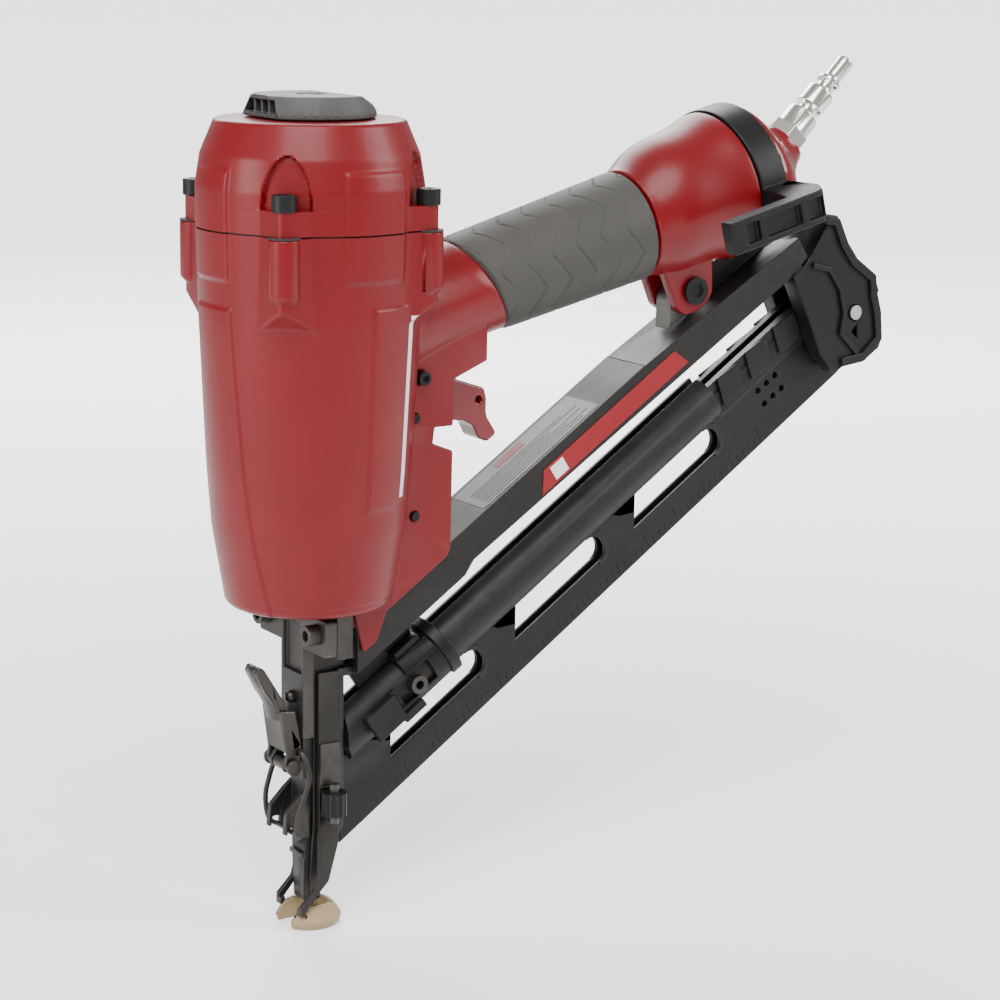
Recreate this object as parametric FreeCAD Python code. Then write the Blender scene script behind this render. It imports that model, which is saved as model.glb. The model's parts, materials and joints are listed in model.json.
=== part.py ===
import FreeCAD, Part
import math
import os

# Pneumatic finish nailer, in millimetres.
# Origin: the nail exit, at the metal tip of the nose, on the drive axis.
# +Z runs up the drive axis to the cap, +X runs back towards the handle, -Y is the belt hook side.

V = FreeCAD.Vector
os.makedirs("parts", exist_ok=True)

# ---- clearances -------------------------------------------------------------
RUN = 0.05             # radial running clearance of a shaft or a ring
SIDE = 0.4             # free gap between pieces that move past each other

# ---- overall layout ---------------------------------------------------------
BODY_BOTTOM_Z = 110.0  # underside of the cylinder body
SEAM_Z = 241.0         # joint between body and cap
CAP_H = 36.0           # seam to the flat top of the cap
CAP_TOP_Z = SEAM_Z + CAP_H
BODY_BOTTOM_R = 29.0
BODY_FOOT_ROUND = 6.0
BODY_TOP_R = 38.5
CAP_TOP_R = 32.0
HANDLE_ANGLE = 14.3    # handle rises towards the air inlet
HANDLE_Z = 200.1       # where the handle axis meets the drive axis
HANDLE_END = 180.0     # rim of the bell, along the handle axis
MAG_ANGLE = 34.0       # magazine rises towards the rear
MAG_END = 288.0        # rear end of the rails, along the magazine

# ---- body, cap and drive ----------------------------------------------------
WALL = 4.0
GASKET_T = 0.6
SLEEVE_R = 22.0        # cylinder bore
SLEEVE_WALL = 2.0
SLEEVE_PROUD = 2.0     # sleeve above the seam
SLEEVE_TOP_Z = SEAM_Z + SLEEVE_PROUD
BUMPER_H = 22.0
FLOOR_T = 8.0          # floor of the body, over the nose
STROKE = 90.0
PISTON_H = 11.0
BLADE_W = 5.0
BLADE_T = 2.4
CHANNEL_CLEAR = 0.4
VALVE_LIFT = 5.0
VALVE_H = 14.0
BOSS_X = 27.5
BOSS_Y = 31.2
BOSS_R = 5.2
BOSS_RISE = 8.4        # flat under the screw heads, above the seam
BOSS_DROP = 19.4       # lower end of a boss, under the seam
BOSS_TOP_Z = SEAM_Z + BOSS_RISE
BOSS_LOW_Z = SEAM_Z - BOSS_DROP
CAP_SCREW_R = 2.5
CAP_HEAD_R = 4.1
CAP_HEAD_H = 5.6
DEFLECTOR_R = 22.3
DEFLECTOR_H = 7.4
DEFLECTOR_FACE_X = -19.3  # flat face with the exhaust window
DEFLECTOR_PIN_R = 2.2
EXHAUST_R = 9.0        # exhaust hole through the top of the cap
VALVE_R = SLEEVE_R + SLEEVE_WALL + 3.0
VALVE_Z = SLEEVE_TOP_Z + 0.3

# ---- handle -----------------------------------------------------------------
HANDLE_R = 17.5        # tube under the grip
HANDLE_BORE_R = 12.5
GRIP_FRONT = 60.0      # upper end of the grip's slanted front edge
GRIP_SLANT = 13.4      # how much further back its lower end is
GRIP_END = 137.0
GRIP_FRONT_R = 18.7
GRIP_END_R = 20.6
BELL_R = 28.0
BELL_LIFT = 3.0        # rim centre above the handle axis
SPIGOT_R = 25.4
RING_W = 11.7
RIM_GASKET_T = 1.2
RING_R = 28.6
PLUG_ANGLE = 29.8      # plug axis above the handle axis
PLUG_BORE_R = 4.6
PLUG_BASE = 23.0       # where the plug axis leaves the handle axis, behind the rim
PLUG_BORE_START = -12.0
PLUG_L = 43.0          # plug outside the cap
PLUG_START = 13.2      # from the plug axis base to the boss face

# ---- rear fin, ears and trigger --------------------------------------------
FIN_HALF = 14.0
TRIGGER_HALF = 5.5
TRIGGER_PIN = (35.9, 187.7)
TRIGGER_PIN_R = 2.5
LEVER_PIN = (47.0, 179.8)
LEVER_PIN_R = 1.0
VALVE_X = 57.5
EAR_OUT = 9.0
EAR_IN = 4.6
BOLT = (159.1, 209.6)
BOLT_R = 3.0
RAIL_PINS = ((33.9, 173.5), (34.0, 138.7))
RAIL_PIN_R = 1.6
STEM_R = 1.8
STEM_LOW_Z = 181.2

# ---- magazine, in its own axes: s along it, n square to it -------------------
RAIL_HALF = 12.0
RAIL_LOW = 65.0
RAIL_TOP = 77.0
NAIL_SLOT = 1.7        # half width of the slot for the nails
HEAD_SLOT = 2.3
BLADE_HALF = 3.0
BLADE_LOW = 10.0
TRACK_R = 9.4
TRACK_N = 42.2
TRACK_SHORT = 52.0     # how far the round track stops before the rails
TRACK_END = MAG_END - TRACK_SHORT
WINDOW_W = 11.0
WINDOW_L = 50.5
WINDOW_PITCH = 64.5
WINDOW_START = 53.0
WINDOW_N = 27.2
VENT_R = 1.25
TAIL_HALF = 5.0        # half width of the track's square tail
VENT_PITCH = 4.9
VENT_BACK = 31.2       # first vent hole, before the end of the rails
CREASE_BACK = 73.5     # crease across the rail's top, before its end
PUSHER_S = 88.0        # pusher parked at the front

# ---- nose -------------------------------------------------------------------
FLANGE_HALF = 23.5
FLANGE_LOW_Z = 94.0
FLANGE_BACK_X = 3.6
NOSE_HALF = 7.0
NOSE_FRONT_X = -2.6
COVER_FRONT_X = -7.2
NOSE_SCREW_Y = 17.2
NOSE_SCREW_Z = 102.4
NOSE_SCREW_R = 2.1
NOSE_HEAD_R = 3.65
LATCH = (-11.0, 52.4)  # axis of the latch lever
LATCH_PIN_R = 1.6
ROLLER_R = 2.4
LUG_OUT = 5.2          # outer face of the cover's latch lugs
LEVER_HALF = 7.0
LEVER_WALL = 1.4
BAIL = (-8.3, 57.2)    # where the wire pivots in the lever
HOOK_BAR = (-11.3, 29.0)  # where the wire rests under the door's hooks
WIRE_R = 0.95
TIE_X = (10.2, 12.0)   # bar that joins the two legs of the contact
TIE_Z = (83.2, 86.2)
PAD_R = 11.8
PAD_LOW_Z = -8.6
PAD_TOP_Z = -1.2
PAD_SLOT_HALF = 4.9    # lets the nose's tip through when the contact is pressed
WHEEL = (2.2, -13.2)   # axis of the depth wheel, x and y
WHEEL_R = 4.6
WHEEL_H = 8.5
WHEEL_Z = 34.4
POST_R = 1.8


# ---- helpers ----------------------------------------------------------------
def save(name, shape):
    """Write one node and say how much it holds."""
    if shape.ShapeType == "Compound" and len(shape.Solids) == 1:
        shape = shape.Solids[0]
    shape.exportStep("parts/%s.step" % name)
    valid = "valid" if shape.isValid() else "NOT VALID"
    print("%-24s %9.1f mm3  %d solid(s)  %s" % (name, shape.Volume, len(shape.Solids), valid))


def box(x0, x1, y0, y1, z0, z1):
    return Part.makeBox(x1 - x0, y1 - y0, z1 - z0, V(x0, y0, z0))


def rod(start, end, radius):
    """Round bar from one point to another."""
    start, end = V(*start), V(*end)
    return Part.makeCylinder(radius, (end - start).Length, start, end - start)


def across(x, z, radius, y0, y1):
    """Round bar parallel to Y."""
    return rod((x, y0, z), (x, y1, z), radius)


def upright(x, y, radius, z0, z1):
    """Round bar parallel to Z."""
    return rod((x, y, z0), (x, y, z1), radius)


def corner(before, here, after, radius):
    """Ends and middle of the arc that rounds one corner."""
    a = (before - here).normalize()
    b = (after - here).normalize()
    half = a.getAngle(b) / 2.0
    reach = radius / math.tan(half)
    middle = (a + b).normalize()
    centre = here + middle * (radius / math.sin(half))
    return here + a * reach, centre - middle * radius, here + b * reach


def outline(points, lift):
    """Closed face through points (a, b) or (a, b, corner radius); lift turns (a, b) into a vector."""
    places = [lift(p[0], p[1]) for p in points]
    count = len(points)
    edges = []
    ends = []
    for i in range(count):
        if len(points[i]) == 3:
            start, middle, end = corner(places[i - 1], places[i], places[(i + 1) % count], points[i][2])
            edges.append(Part.Arc(start, middle, end).toShape())
            ends.append((start, end))
        else:
            edges.append(None)
            ends.append((places[i], places[i]))
    ordered = []
    for i in range(count):
        if edges[i] is not None:
            ordered.append(edges[i])
        start, end = ends[i][1], ends[(i + 1) % count][0]
        if (end - start).Length > 1e-6:
            ordered.append(Part.LineSegment(start, end).toShape())
    return Part.Face(Part.Wire(ordered))


def prism(points, y0, y1):
    """Outline in X and Z, carried from y0 to y1."""
    return outline(points, lambda a, b: V(a, y0, b)).extrude(V(0, y1 - y0, 0))


def plan(points, z0, z1):
    """Outline in X and Y, carried from z0 to z1."""
    return outline(points, lambda a, b: V(a, b, z0)).extrude(V(0, 0, z1 - z0))


def section(points, x0, x1):
    """Outline in Y and Z, carried from x0 to x1."""
    return outline(points, lambda a, b: V(x0, a, b)).extrude(V(x1 - x0, 0, 0))


def turned(points):
    """Solid of revolution about Z of an outline in radius and height."""
    return outline(points, lambda a, b: V(a, 0, b)).revolve(V(0, 0, 0), V(0, 0, 1), 360)


def tube(z0, z1, inner, outer):
    return upright(0, 0, outer, z0, z1).cut(upright(0, 0, inner, z0, z1))


def ring(z, radius, wire):
    return Part.makeTorus(radius, wire, V(0, 0, z))


def on_handle(shape):
    """From handle axes (X along the handle) to the tool's axes."""
    shape = shape.copy()
    shape.rotate(V(0, 0, 0), V(0, 1, 0), -HANDLE_ANGLE)
    shape.translate(V(0, 0, HANDLE_Z))
    return shape


def on_magazine(shape):
    """From magazine axes (X along it, Z square to it) to the tool's axes."""
    shape = shape.copy()
    shape.rotate(V(0, 0, 0), V(0, 1, 0), -MAG_ANGLE)
    return shape


def hoop(u, v, radius, tilt=0.0):
    """Circle square to the handle axis, tilted up by an angle."""
    slope = math.radians(tilt)
    return Part.Wire(Part.makeCircle(radius, V(u, 0, v), V(math.cos(slope), 0, math.sin(slope))))


def loft(wires, ruled=False):
    """Solid through a row of hoops; ruled keeps the walls straight between them."""
    return Part.makeLoft(wires, True, ruled)


def socket_screw(place, along, length, shank, head_r, head_h):
    """Socket-head screw; place is under its head and along points to its tip."""
    place, along = V(*place), V(*along)
    screw = Part.makeCylinder(shank, length, place, along)
    head = Part.makeCylinder(head_r, head_h, place, along * -1)
    hexagon = [
        (head_r * 0.55 * math.cos(math.radians(60 * i)), head_r * 0.55 * math.sin(math.radians(60 * i)))
        for i in range(6)
    ]
    socket = plan(hexagon, 0, head_h)
    socket.Placement = FreeCAD.Placement(
        place + along * (-head_h * 0.45), FreeCAD.Rotation(V(0, 0, 1), along * -1),
    )
    return screw.fuse(head).cut(socket)


def along_points(points, radius):
    """Round wire through points, with a ball at each joint."""
    pieces = []
    for start, end in zip(points[:-1], points[1:]):
        pieces.append(rod(start, end, radius))
    for point in points[1:-1]:
        pieces.append(Part.makeSphere(radius, V(*point)))
    return pieces[0].fuse(pieces[1:]).removeSplitter()


BOSSES = [(x, y) for x in (-BOSS_X, BOSS_X) for y in (-BOSS_Y, BOSS_Y)]
BODY_TOP_Z = SEAM_Z - GASKET_T / 2
CAP_LOW_Z = SEAM_Z + GASKET_T / 2
FLOOR_Z = BODY_BOTTOM_Z + FLOOR_T
BUMPER_TOP_Z = FLOOR_Z + BUMPER_H
PISTON_Z = BUMPER_TOP_Z + STROKE
CHAMBER_R = SLEEVE_R + SLEEVE_WALL + 4.5
SLANT = GRIP_SLANT / (2 * GRIP_FRONT_R)


def boss_block(x, y, z0, z1):
    """Screw boss with the web that joins it to the round wall."""
    angle = math.degrees(math.atan2(y, x))
    reach = math.hypot(x, y)
    web = box(BODY_TOP_R - 9, reach, -BOSS_R, BOSS_R, z0, z1)
    web.rotate(V(0, 0, 0), V(0, 0, 1), angle)
    return upright(x, y, BOSS_R, z0, z1).fuse(web)


def boss_taper(x, y):
    """Lower end of a boss, running back into the wall."""
    inward = (BODY_TOP_R - 6) / math.hypot(x, y)
    top = Part.Wire(Part.makeCircle(BOSS_R, V(x, y, BOSS_LOW_Z), V(0, 0, 1)))
    low_z = BOSS_LOW_Z - BOSS_R * 1.8
    low = Part.Wire(Part.makeCircle(BOSS_R * 0.8, V(x * inward, y * inward, low_z), V(0, 0, 1)))
    return loft([top, low])


# ---- body and handle casting ------------------------------------------------
def fin():
    """Rear fin under the handle; its two walls straddle the magazine rail."""
    valve_back = VALVE_X + 6.3
    edge = (RAIL_TOP - 2.3) / math.cos(math.radians(MAG_ANGLE))
    slope = math.tan(math.radians(MAG_ANGLE))
    side = [
        (10, 200), (10, 105), (13.8, 92), (19, 95.2), (23.1, edge + 23.1 * slope),
        (49.4, edge + 49.4 * slope, 6.0), (49.8, 160.5), (41.5, 163.8), (42.2, 169.4),
        (49.8, 169.4), (49.8, 185.8), (valve_back, 191.4), (valve_back, 203), (40, 222),
    ]
    return prism(side, -FIN_HALF, FIN_HALF)


def rail_pocket():
    """Room between the fin's walls and under the body for the magazine rail."""
    return on_magazine(box(0, 120, -RAIL_HALF - 0.02, RAIL_HALF + 0.02, 40, RAIL_TOP + 0.02))


def trigger_slot():
    """Room for the trigger between the fin's two walls."""
    half = TRIGGER_HALF + SIDE
    side = [
        (31.0, 196.5), (31.0, 176.0), (38, 160), (52, 156), (80, 150), (80, 189.5),
        (VALVE_X + 2, 189.5), (VALVE_X - 8, 196.5),
    ]
    return prism(side, -half, half)


def bell():
    return loft([
        hoop(GRIP_END + 1, 0.4, GRIP_END_R - 0.3),
        hoop(GRIP_END + 11, 1.8, BELL_R - 4.4),
        hoop(GRIP_END + 21, BELL_LIFT - 0.2, BELL_R - 2.8),
        hoop(HANDLE_END - 12, BELL_LIFT, BELL_R - 2.1),
        hoop(HANDLE_END - 4, BELL_LIFT, BELL_R - 0.4),
        hoop(HANDLE_END, BELL_LIFT, BELL_R),
    ])


def bell_hollow():
    inner = SPIGOT_R - WALL
    return loft([
        hoop(GRIP_END + 4, 0.8, HANDLE_BORE_R), hoop(GRIP_END + 18, BELL_LIFT, inner - 2.5),
        hoop(HANDLE_END - 8, BELL_LIFT, inner), hoop(HANDLE_END + 1, BELL_LIFT, inner),
    ], True)


def ear_pair():
    """Two ears under the bell that take the magazine bolt."""
    side = [
        (144.6, 218), (151.2, 203.3, 3.0), (155.2, 200.5, 3.0), (164.2, 202.3, 4.0),
        (167.9, 208.4, 3.0), (167.3, 225),
        (150, 228),
    ]
    near = prism(side, -EAR_OUT, -EAR_IN)
    far = prism(side, EAR_IN, EAR_OUT)
    return near.fuse(far).cut(
        on_magazine(box(100, MAG_END, -EAR_OUT - 1, EAR_OUT + 1, 50, RAIL_TOP + 0.02))
    )


def main_housing():
    body = turned([
        (0, BODY_BOTTOM_Z),
        (BODY_BOTTOM_R, BODY_BOTTOM_Z, BODY_FOOT_ROUND),
        (BODY_BOTTOM_R + 4.1, BODY_BOTTOM_Z + 28.0),
        (BODY_TOP_R - 3.6, BODY_BOTTOM_Z + 49.5),
        (BODY_TOP_R - 0.9, SEAM_Z - 30.0),
        (BODY_TOP_R, BODY_TOP_Z),
        (0, BODY_TOP_Z),
    ])
    for x, y in BOSSES:
        body = body.fuse([boss_block(x, y, BOSS_LOW_Z, BODY_TOP_Z), boss_taper(x, y)])
    root = on_handle(loft([hoop(14, 0, 24.0), hoop(34, 0, 20.5), hoop(GRIP_FRONT + 20, 0, GRIP_FRONT_R)]))
    slant_cut = on_handle(prism([
        (GRIP_FRONT - SLANT * 21, 40), (GRIP_FRONT + SLANT * 59, -40), (160, -40), (160, 40),
    ], -40, 40))
    handle = on_handle(loft([hoop(20, 0, HANDLE_R), hoop(GRIP_END + 8, 0, HANDLE_R)]))
    shell = body.fuse([root.cut(slant_cut), handle, fin(), on_handle(bell()), ear_pair()])
    chamber = upright(0, 0, CHAMBER_R, BUMPER_TOP_Z, BODY_TOP_Z + 1)
    seat = upright(0, 0, SLEEVE_R + SLEEVE_WALL, FLOOR_Z, BUMPER_TOP_Z + 1)
    passage = on_handle(loft([hoop(10, 0, HANDLE_BORE_R), hoop(GRIP_END + 5, 0, HANDLE_BORE_R)]))
    nose_hole = box(-6, 6, -6, 6, BODY_BOTTOM_Z - 1, FLOOR_Z + 1)
    valve_bore = upright(VALVE_X, 0, 5.0, 180, 214)
    shell = shell.cut(
        [chamber, seat, passage, on_handle(bell_hollow()), nose_hole, valve_bore, trigger_slot()]
    )
    holes = [upright(x, y, CAP_SCREW_R, BODY_TOP_Z - 16, BODY_TOP_Z + 1) for x, y in BOSSES]
    holes.append(across(BOLT[0], BOLT[1], BOLT_R, -EAR_OUT - 1, EAR_OUT + 1))
    holes.append(across(TRIGGER_PIN[0], TRIGGER_PIN[1], TRIGGER_PIN_R, -40, 40))
    for x, z in RAIL_PINS:
        holes.append(across(x, z, RAIL_PIN_R, -40, 40))
    mount = box(NOSE_FRONT_X - 20, FLANGE_BACK_X, -FLANGE_HALF - 1, FLANGE_HALF + 1, 80, BODY_BOTTOM_Z)
    gasket_seat = on_handle(loft([
        hoop(HANDLE_END - RIM_GASKET_T, BELL_LIFT, SPIGOT_R - 0.4),
        hoop(HANDLE_END + 1, BELL_LIFT, SPIGOT_R - 0.4),
    ]))
    return shell.cut(holes + [gasket_seat, mount, rail_pocket()])


def cylinder_cap():
    profile = [
        (0, CAP_LOW_Z),
        (BODY_TOP_R, CAP_LOW_Z),
        (BODY_TOP_R + 0.1, SEAM_Z + 14.0),
        (BODY_TOP_R - 1.6, SEAM_Z + 24.4),
        (CAP_TOP_R, CAP_TOP_Z, 1.5),
        (0, CAP_TOP_Z),
    ]
    cap = turned(profile)
    for x, y in BOSSES:
        cap = cap.fuse(boss_block(x, y, CAP_LOW_Z, BOSS_TOP_Z))
        cap = cap.cut(upright(x, y, CAP_HEAD_R + 1.6, BOSS_TOP_Z, CAP_TOP_Z))
    room = upright(0, 0, VALVE_R + RUN, CAP_LOW_Z - 1, VALVE_Z + VALVE_H + VALVE_LIFT + 1.0)
    exhaust = upright(0, 0, EXHAUST_R, SEAM_Z + 9, CAP_TOP_Z + 1)
    screw_post = upright(0, 0, 4.0, VALVE_Z + VALVE_H + VALVE_LIFT + 1.0, CAP_TOP_Z)
    bridge = box(-EXHAUST_R - 1, EXHAUST_R + 1, -2.0, 2.0, CAP_TOP_Z - 6, CAP_TOP_Z - 1)
    holes = [upright(x, y, CAP_SCREW_R + 0.2, CAP_LOW_Z - 1, BOSS_TOP_Z + 1) for x, y in BOSSES]
    cap = cap.cut([room, exhaust]).fuse([screw_post, bridge]).cut(holes)
    return cap.cut(upright(0, 0, DEFLECTOR_PIN_R - 0.2, CAP_TOP_Z - 9, CAP_TOP_Z + 1))


def cap_gasket():
    plate = upright(0, 0, BODY_TOP_R - 0.4, BODY_TOP_Z, CAP_LOW_Z)
    for x, y in BOSSES:
        plate = plate.fuse(boss_block(x, y, BODY_TOP_Z, CAP_LOW_Z))
    holes = [upright(x, y, CAP_SCREW_R + 0.2, BODY_TOP_Z - 1, CAP_LOW_Z + 1) for x, y in BOSSES]
    holes.append(upright(0, 0, CHAMBER_R + 0.6, BODY_TOP_Z - 1, CAP_LOW_Z + 1))
    return plate.cut(holes)


def cap_screws():
    length = BOSS_TOP_Z - BODY_TOP_Z + 14
    return Part.makeCompound([
        socket_screw(
            (x, y, BOSS_TOP_Z), (0, 0, -1), length, CAP_SCREW_R, CAP_HEAD_R, CAP_HEAD_H,
        ) for x, y in BOSSES
    ])


def exhaust_deflector():
    """Low disc with an exhaust window in its flat front and a back that slopes to a lip; it turns."""
    low = CAP_TOP_Z + SIDE
    top = low + DEFLECTOR_H
    lip = low + 1.6
    disc = turned(
        [(0, low), (DEFLECTOR_R, low), (DEFLECTOR_R, lip), (DEFLECTOR_R - 2.5, top, 1.2), (0, top)]
    )
    rear = prism(
        [(10, top), (DEFLECTOR_R, lip), (DEFLECTOR_R + 8, lip), (DEFLECTOR_R + 8, top + 2), (10, top + 2)],
        -30, 30,
    )
    front = box(-DEFLECTOR_R - 5, DEFLECTOR_FACE_X, -30, 30, low - 1, top + 1)
    room = upright(0, 0, 12.0, low - 1, top - 2)
    window = section(
        [(-10.8, lip), (10.8, lip), (8.4, top - 1.4), (-8.4, top - 1.4)], DEFLECTOR_FACE_X - 5, 0,
    )
    bars = [
        box(DEFLECTOR_FACE_X + 0.6, DEFLECTOR_FACE_X + 3.0, y - 0.6, y + 0.6, lip - 0.5, top - 1)
        for y in (-4.8, 0, 4.8)
    ]
    hub = upright(0, 0, 6.5, low, top)
    hollow = disc.cut([rear, front]).cut([room, window]).fuse(bars + [hub])
    return hollow.cut(
        [upright(0, 0, DEFLECTOR_PIN_R + RUN, low - 1, top + 1), upright(0, 0, 4.6, top - 2.4, top + 1)]
    )


def deflector_screw():
    """Shoulder screw the deflector turns on."""
    top = CAP_TOP_Z + SIDE + DEFLECTOR_H
    head_z = top - 2.4 + 0.3
    screw = upright(0, 0, DEFLECTOR_PIN_R, CAP_TOP_Z, head_z)
    thread = upright(0, 0, DEFLECTOR_PIN_R - 0.2, CAP_TOP_Z - 8, CAP_TOP_Z)
    head = upright(0, 0, 4.0, head_z, top - 0.3)
    slot = box(-5, 5, -0.6, 0.6, top - 1.3, top)
    return screw.fuse([thread, head]).cut(slot)


# ---- drive ------------------------------------------------------------------
def cylinder_sleeve():
    return tube(BUMPER_TOP_Z - 4, SLEEVE_TOP_Z, SLEEVE_R, SLEEVE_R + SLEEVE_WALL - RUN).cut(
        tube(BUMPER_TOP_Z + 18, BUMPER_TOP_Z + 21, SLEEVE_R + SLEEVE_WALL - 1.0, SLEEVE_R + SLEEVE_WALL + 1))


def sleeve_seal():
    return tube(BUMPER_TOP_Z + 18.1, BUMPER_TOP_Z + 20.9, SLEEVE_R + SLEEVE_WALL - 0.95, CHAMBER_R - 1.0)


def piston_bumper():
    low = FLOOR_Z
    profile = [
        (6.5, low), (SLEEVE_R - 1, low), (SLEEVE_R - 1, low + 6, 2.0), (SLEEVE_R - 4, low + 11, 3.0),
        (SLEEVE_R - 2, BUMPER_TOP_Z - 0.4), (6.5, BUMPER_TOP_Z - 0.4),
    ]
    return turned(profile)


def piston():
    groove = tube(PISTON_Z + 4, PISTON_Z + 7, SLEEVE_R - 2.4, SLEEVE_R + 1)
    disc = turned([
        (0, PISTON_Z), (SLEEVE_R - RUN, PISTON_Z), (SLEEVE_R - RUN, PISTON_Z + PISTON_H),
        (SLEEVE_R - 6, PISTON_Z + PISTON_H),
        (SLEEVE_R - 8, PISTON_Z + 6), (6, PISTON_Z + 6), (6, PISTON_Z + PISTON_H - 1),
        (0, PISTON_Z + PISTON_H - 1),
    ])
    return disc.cut(groove)


def piston_ring():
    return tube(PISTON_Z + 4, PISTON_Z + 7, SLEEVE_R - 2.4, SLEEVE_R - RUN)


def driver_blade():
    shaft = box(-BLADE_T / 2, BLADE_T / 2, -BLADE_W / 2, BLADE_W / 2, STROKE, PISTON_Z)
    edges = [e for e in shaft.Edges if e.Length > STROKE]
    return shaft.makeFillet(0.5, edges)


def head_valve():
    low = VALVE_Z
    high = low + VALVE_H
    cup = turned([
        (SLEEVE_R - 3, low), (VALVE_R, low), (VALVE_R, high), (VALVE_R - 3, high), (VALVE_R - 3, low + 7),
        (12, low + 7), (12, high - 1), (9.6, high - 1), (9.6, low + 3), (SLEEVE_R - 3, low + 3),
    ])
    return cup


def head_valve_seal():
    return tube(VALVE_Z + VALVE_H, VALVE_Z + VALVE_H + 0.6, VALVE_R - 2.6, VALVE_R - 0.4)


def head_valve_spring():
    """Wave spring that pushes the head valve down on the sleeve: flat turns joined crest to crest."""
    low = VALVE_Z + 7.1
    high = VALVE_Z + VALVE_H + VALVE_LIFT + 0.9
    turns = 5
    thick = 0.8
    step = (high - low - thick) / (turns - 1)
    pieces = []
    for i in range(turns):
        z = low + i * step
        pieces.append(tube(z, z + thick, 16.8, 18.8))
        if i < turns - 1:
            for k in range(3):
                crest = box(16.9, 18.7, -1.5, 1.5, z + thick / 2, z + step + thick / 2)
                crest.rotate(V(0, 0, 0), V(0, 0, 1), 120 * k + 60 * (i % 2))
                pieces.append(crest)
    return pieces[0].fuse(pieces[1:])


# ---- trigger ----------------------------------------------------------------
def trigger():
    """Cast trigger: two cheeks at the pin, one solid hooked finger piece behind them."""
    side = [
        (31.9, 187.7, 3.2), (36.5, 192.0, 3.2), (54.0, 184.9), (68.4, 180.0, 2.0), (69.4, 176.2),
        (69.4, 170.0, 5.0),
        (74.0, 163.0, 1.4), (69.9, 160.2, 2.0), (66.0, 162.0, 3.0), (63.8, 166.6, 3.0), (59.8, 168.8),
        (53.6, 169.6, 2.0),
        (44.0, 176.0, 3.0),
    ]
    plate = prism(side, -TRIGGER_HALF, TRIGGER_HALF)
    fork = box(20, VALVE_X + 4, -TRIGGER_HALF + 2.2, TRIGGER_HALF - 2.2, 173.0, 200)
    holes = [
        across(TRIGGER_PIN[0], TRIGGER_PIN[1], TRIGGER_PIN_R + RUN, -20, 20),
        across(66.0, 176.0, 1.2, -20, 20), across(LEVER_PIN[0], LEVER_PIN[1], LEVER_PIN_R, -20, 20),
    ]
    return plate.cut(fork).cut(holes)


def trigger_lever():
    """Small rocker inside the trigger that pushes the valve stem."""
    half = TRIGGER_HALF - 2.2 - SIDE
    x, z = LEVER_PIN
    bar = prism(
        [(x - 2, z - 1.8), (61.0, 177.2), (61.0, 179.6), (54, z + 2.0), (x - 2, z + 1.6)], -half,
        half,
    )
    return bar.cut(across(x, z, LEVER_PIN_R, -20, 20))


def lever_pin():
    return across(LEVER_PIN[0], LEVER_PIN[1], LEVER_PIN_R, -TRIGGER_HALF, TRIGGER_HALF)


def trigger_pivot_pin():
    pin = across(TRIGGER_PIN[0], TRIGGER_PIN[1], TRIGGER_PIN_R, -FIN_HALF - 3.4, FIN_HALF + 3.4)
    groove = across(TRIGGER_PIN[0], TRIGGER_PIN[1], TRIGGER_PIN_R * 0.45, -FIN_HALF - 3.5, -FIN_HALF - 2.2)
    return pin.cut(groove)


def rail_pins():
    return Part.makeCompound(
        [across(x, z, RAIL_PIN_R, -FIN_HALF - 1.0, FIN_HALF + 1.0) for x, z in RAIL_PINS]
    )


def trigger_valve_body():
    return upright(VALVE_X, 0, 5.0, 189.6, 212).cut(upright(VALVE_X, 0, STEM_R + RUN, 180, 213))


def trigger_valve_stem():
    low = turned([(0, STEM_LOW_Z), (STEM_R, STEM_LOW_Z, 0.8), (STEM_R, 206), (0, 206)])
    low.translate(V(VALVE_X, 0, 0))
    return low


# ---- handle end -------------------------------------------------------------
def handle_grip():
    outer = loft([hoop(GRIP_FRONT - 12, 0, GRIP_FRONT_R - 0.3), hoop(GRIP_END, 0.2, GRIP_END_R)])
    inner = loft([hoop(GRIP_FRONT - 13, 0, HANDLE_R + 0.02), hoop(GRIP_END + 1, 0, HANDLE_R + 0.02)])
    trim = prism([
        (GRIP_FRONT - SLANT * 21, 40), (GRIP_FRONT + SLANT * 59, -40), (0, -40), (0, 40),
    ], -40, 40)
    end_trim = loft([hoop(GRIP_END - 1.05, 0.4, 40), hoop(GRIP_END + 5, 0.4, 40)])
    return on_handle(outer.cut([inner, trim, end_trim]))


def end_cap():
    """Inlet cap: spigot for the hook's ring, then a skirt that runs into the air boss."""
    front = HANDLE_END
    back = HANDLE_END + RING_W + 2 * SIDE
    slope = math.radians(PLUG_ANGLE)
    face_u = HANDLE_END + PLUG_BASE + PLUG_START * math.cos(slope)
    face_v = BELL_LIFT + PLUG_START * math.sin(slope)
    skirt = loft([
        hoop(back, BELL_LIFT, BELL_R - 0.8, 0),
        hoop(back + 6.5, BELL_LIFT + 1.2, BELL_R - 3.6, 8),
        hoop(back + 12.5, BELL_LIFT + 3.4, 16.5, 20),
        hoop(face_u, face_v, 9.6, PLUG_ANGLE),
    ])
    spigot = loft([hoop(front, BELL_LIFT, SPIGOT_R), hoop(back, BELL_LIFT, SPIGOT_R)])
    hollow = loft(
        [hoop(front - 1, BELL_LIFT, SPIGOT_R - WALL), hoop(back + 2, BELL_LIFT + 0.4, SPIGOT_R - WALL - 1.5)]
    )
    bore = plug_core(PLUG_BORE_START, PLUG_START + 1, PLUG_BORE_R)
    return on_handle(spigot.fuse(skirt).cut([hollow, bore]))


def plug_core(start, end, radius):
    """Round bar on the plug axis, in handle axes, measured from the base of that axis."""
    slope = math.radians(PLUG_ANGLE)
    way = V(math.cos(slope), 0, math.sin(slope))
    return Part.makeCylinder(
        radius, end - start, V(HANDLE_END + PLUG_BASE, 0, BELL_LIFT) + way * start, way,
    )


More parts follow.
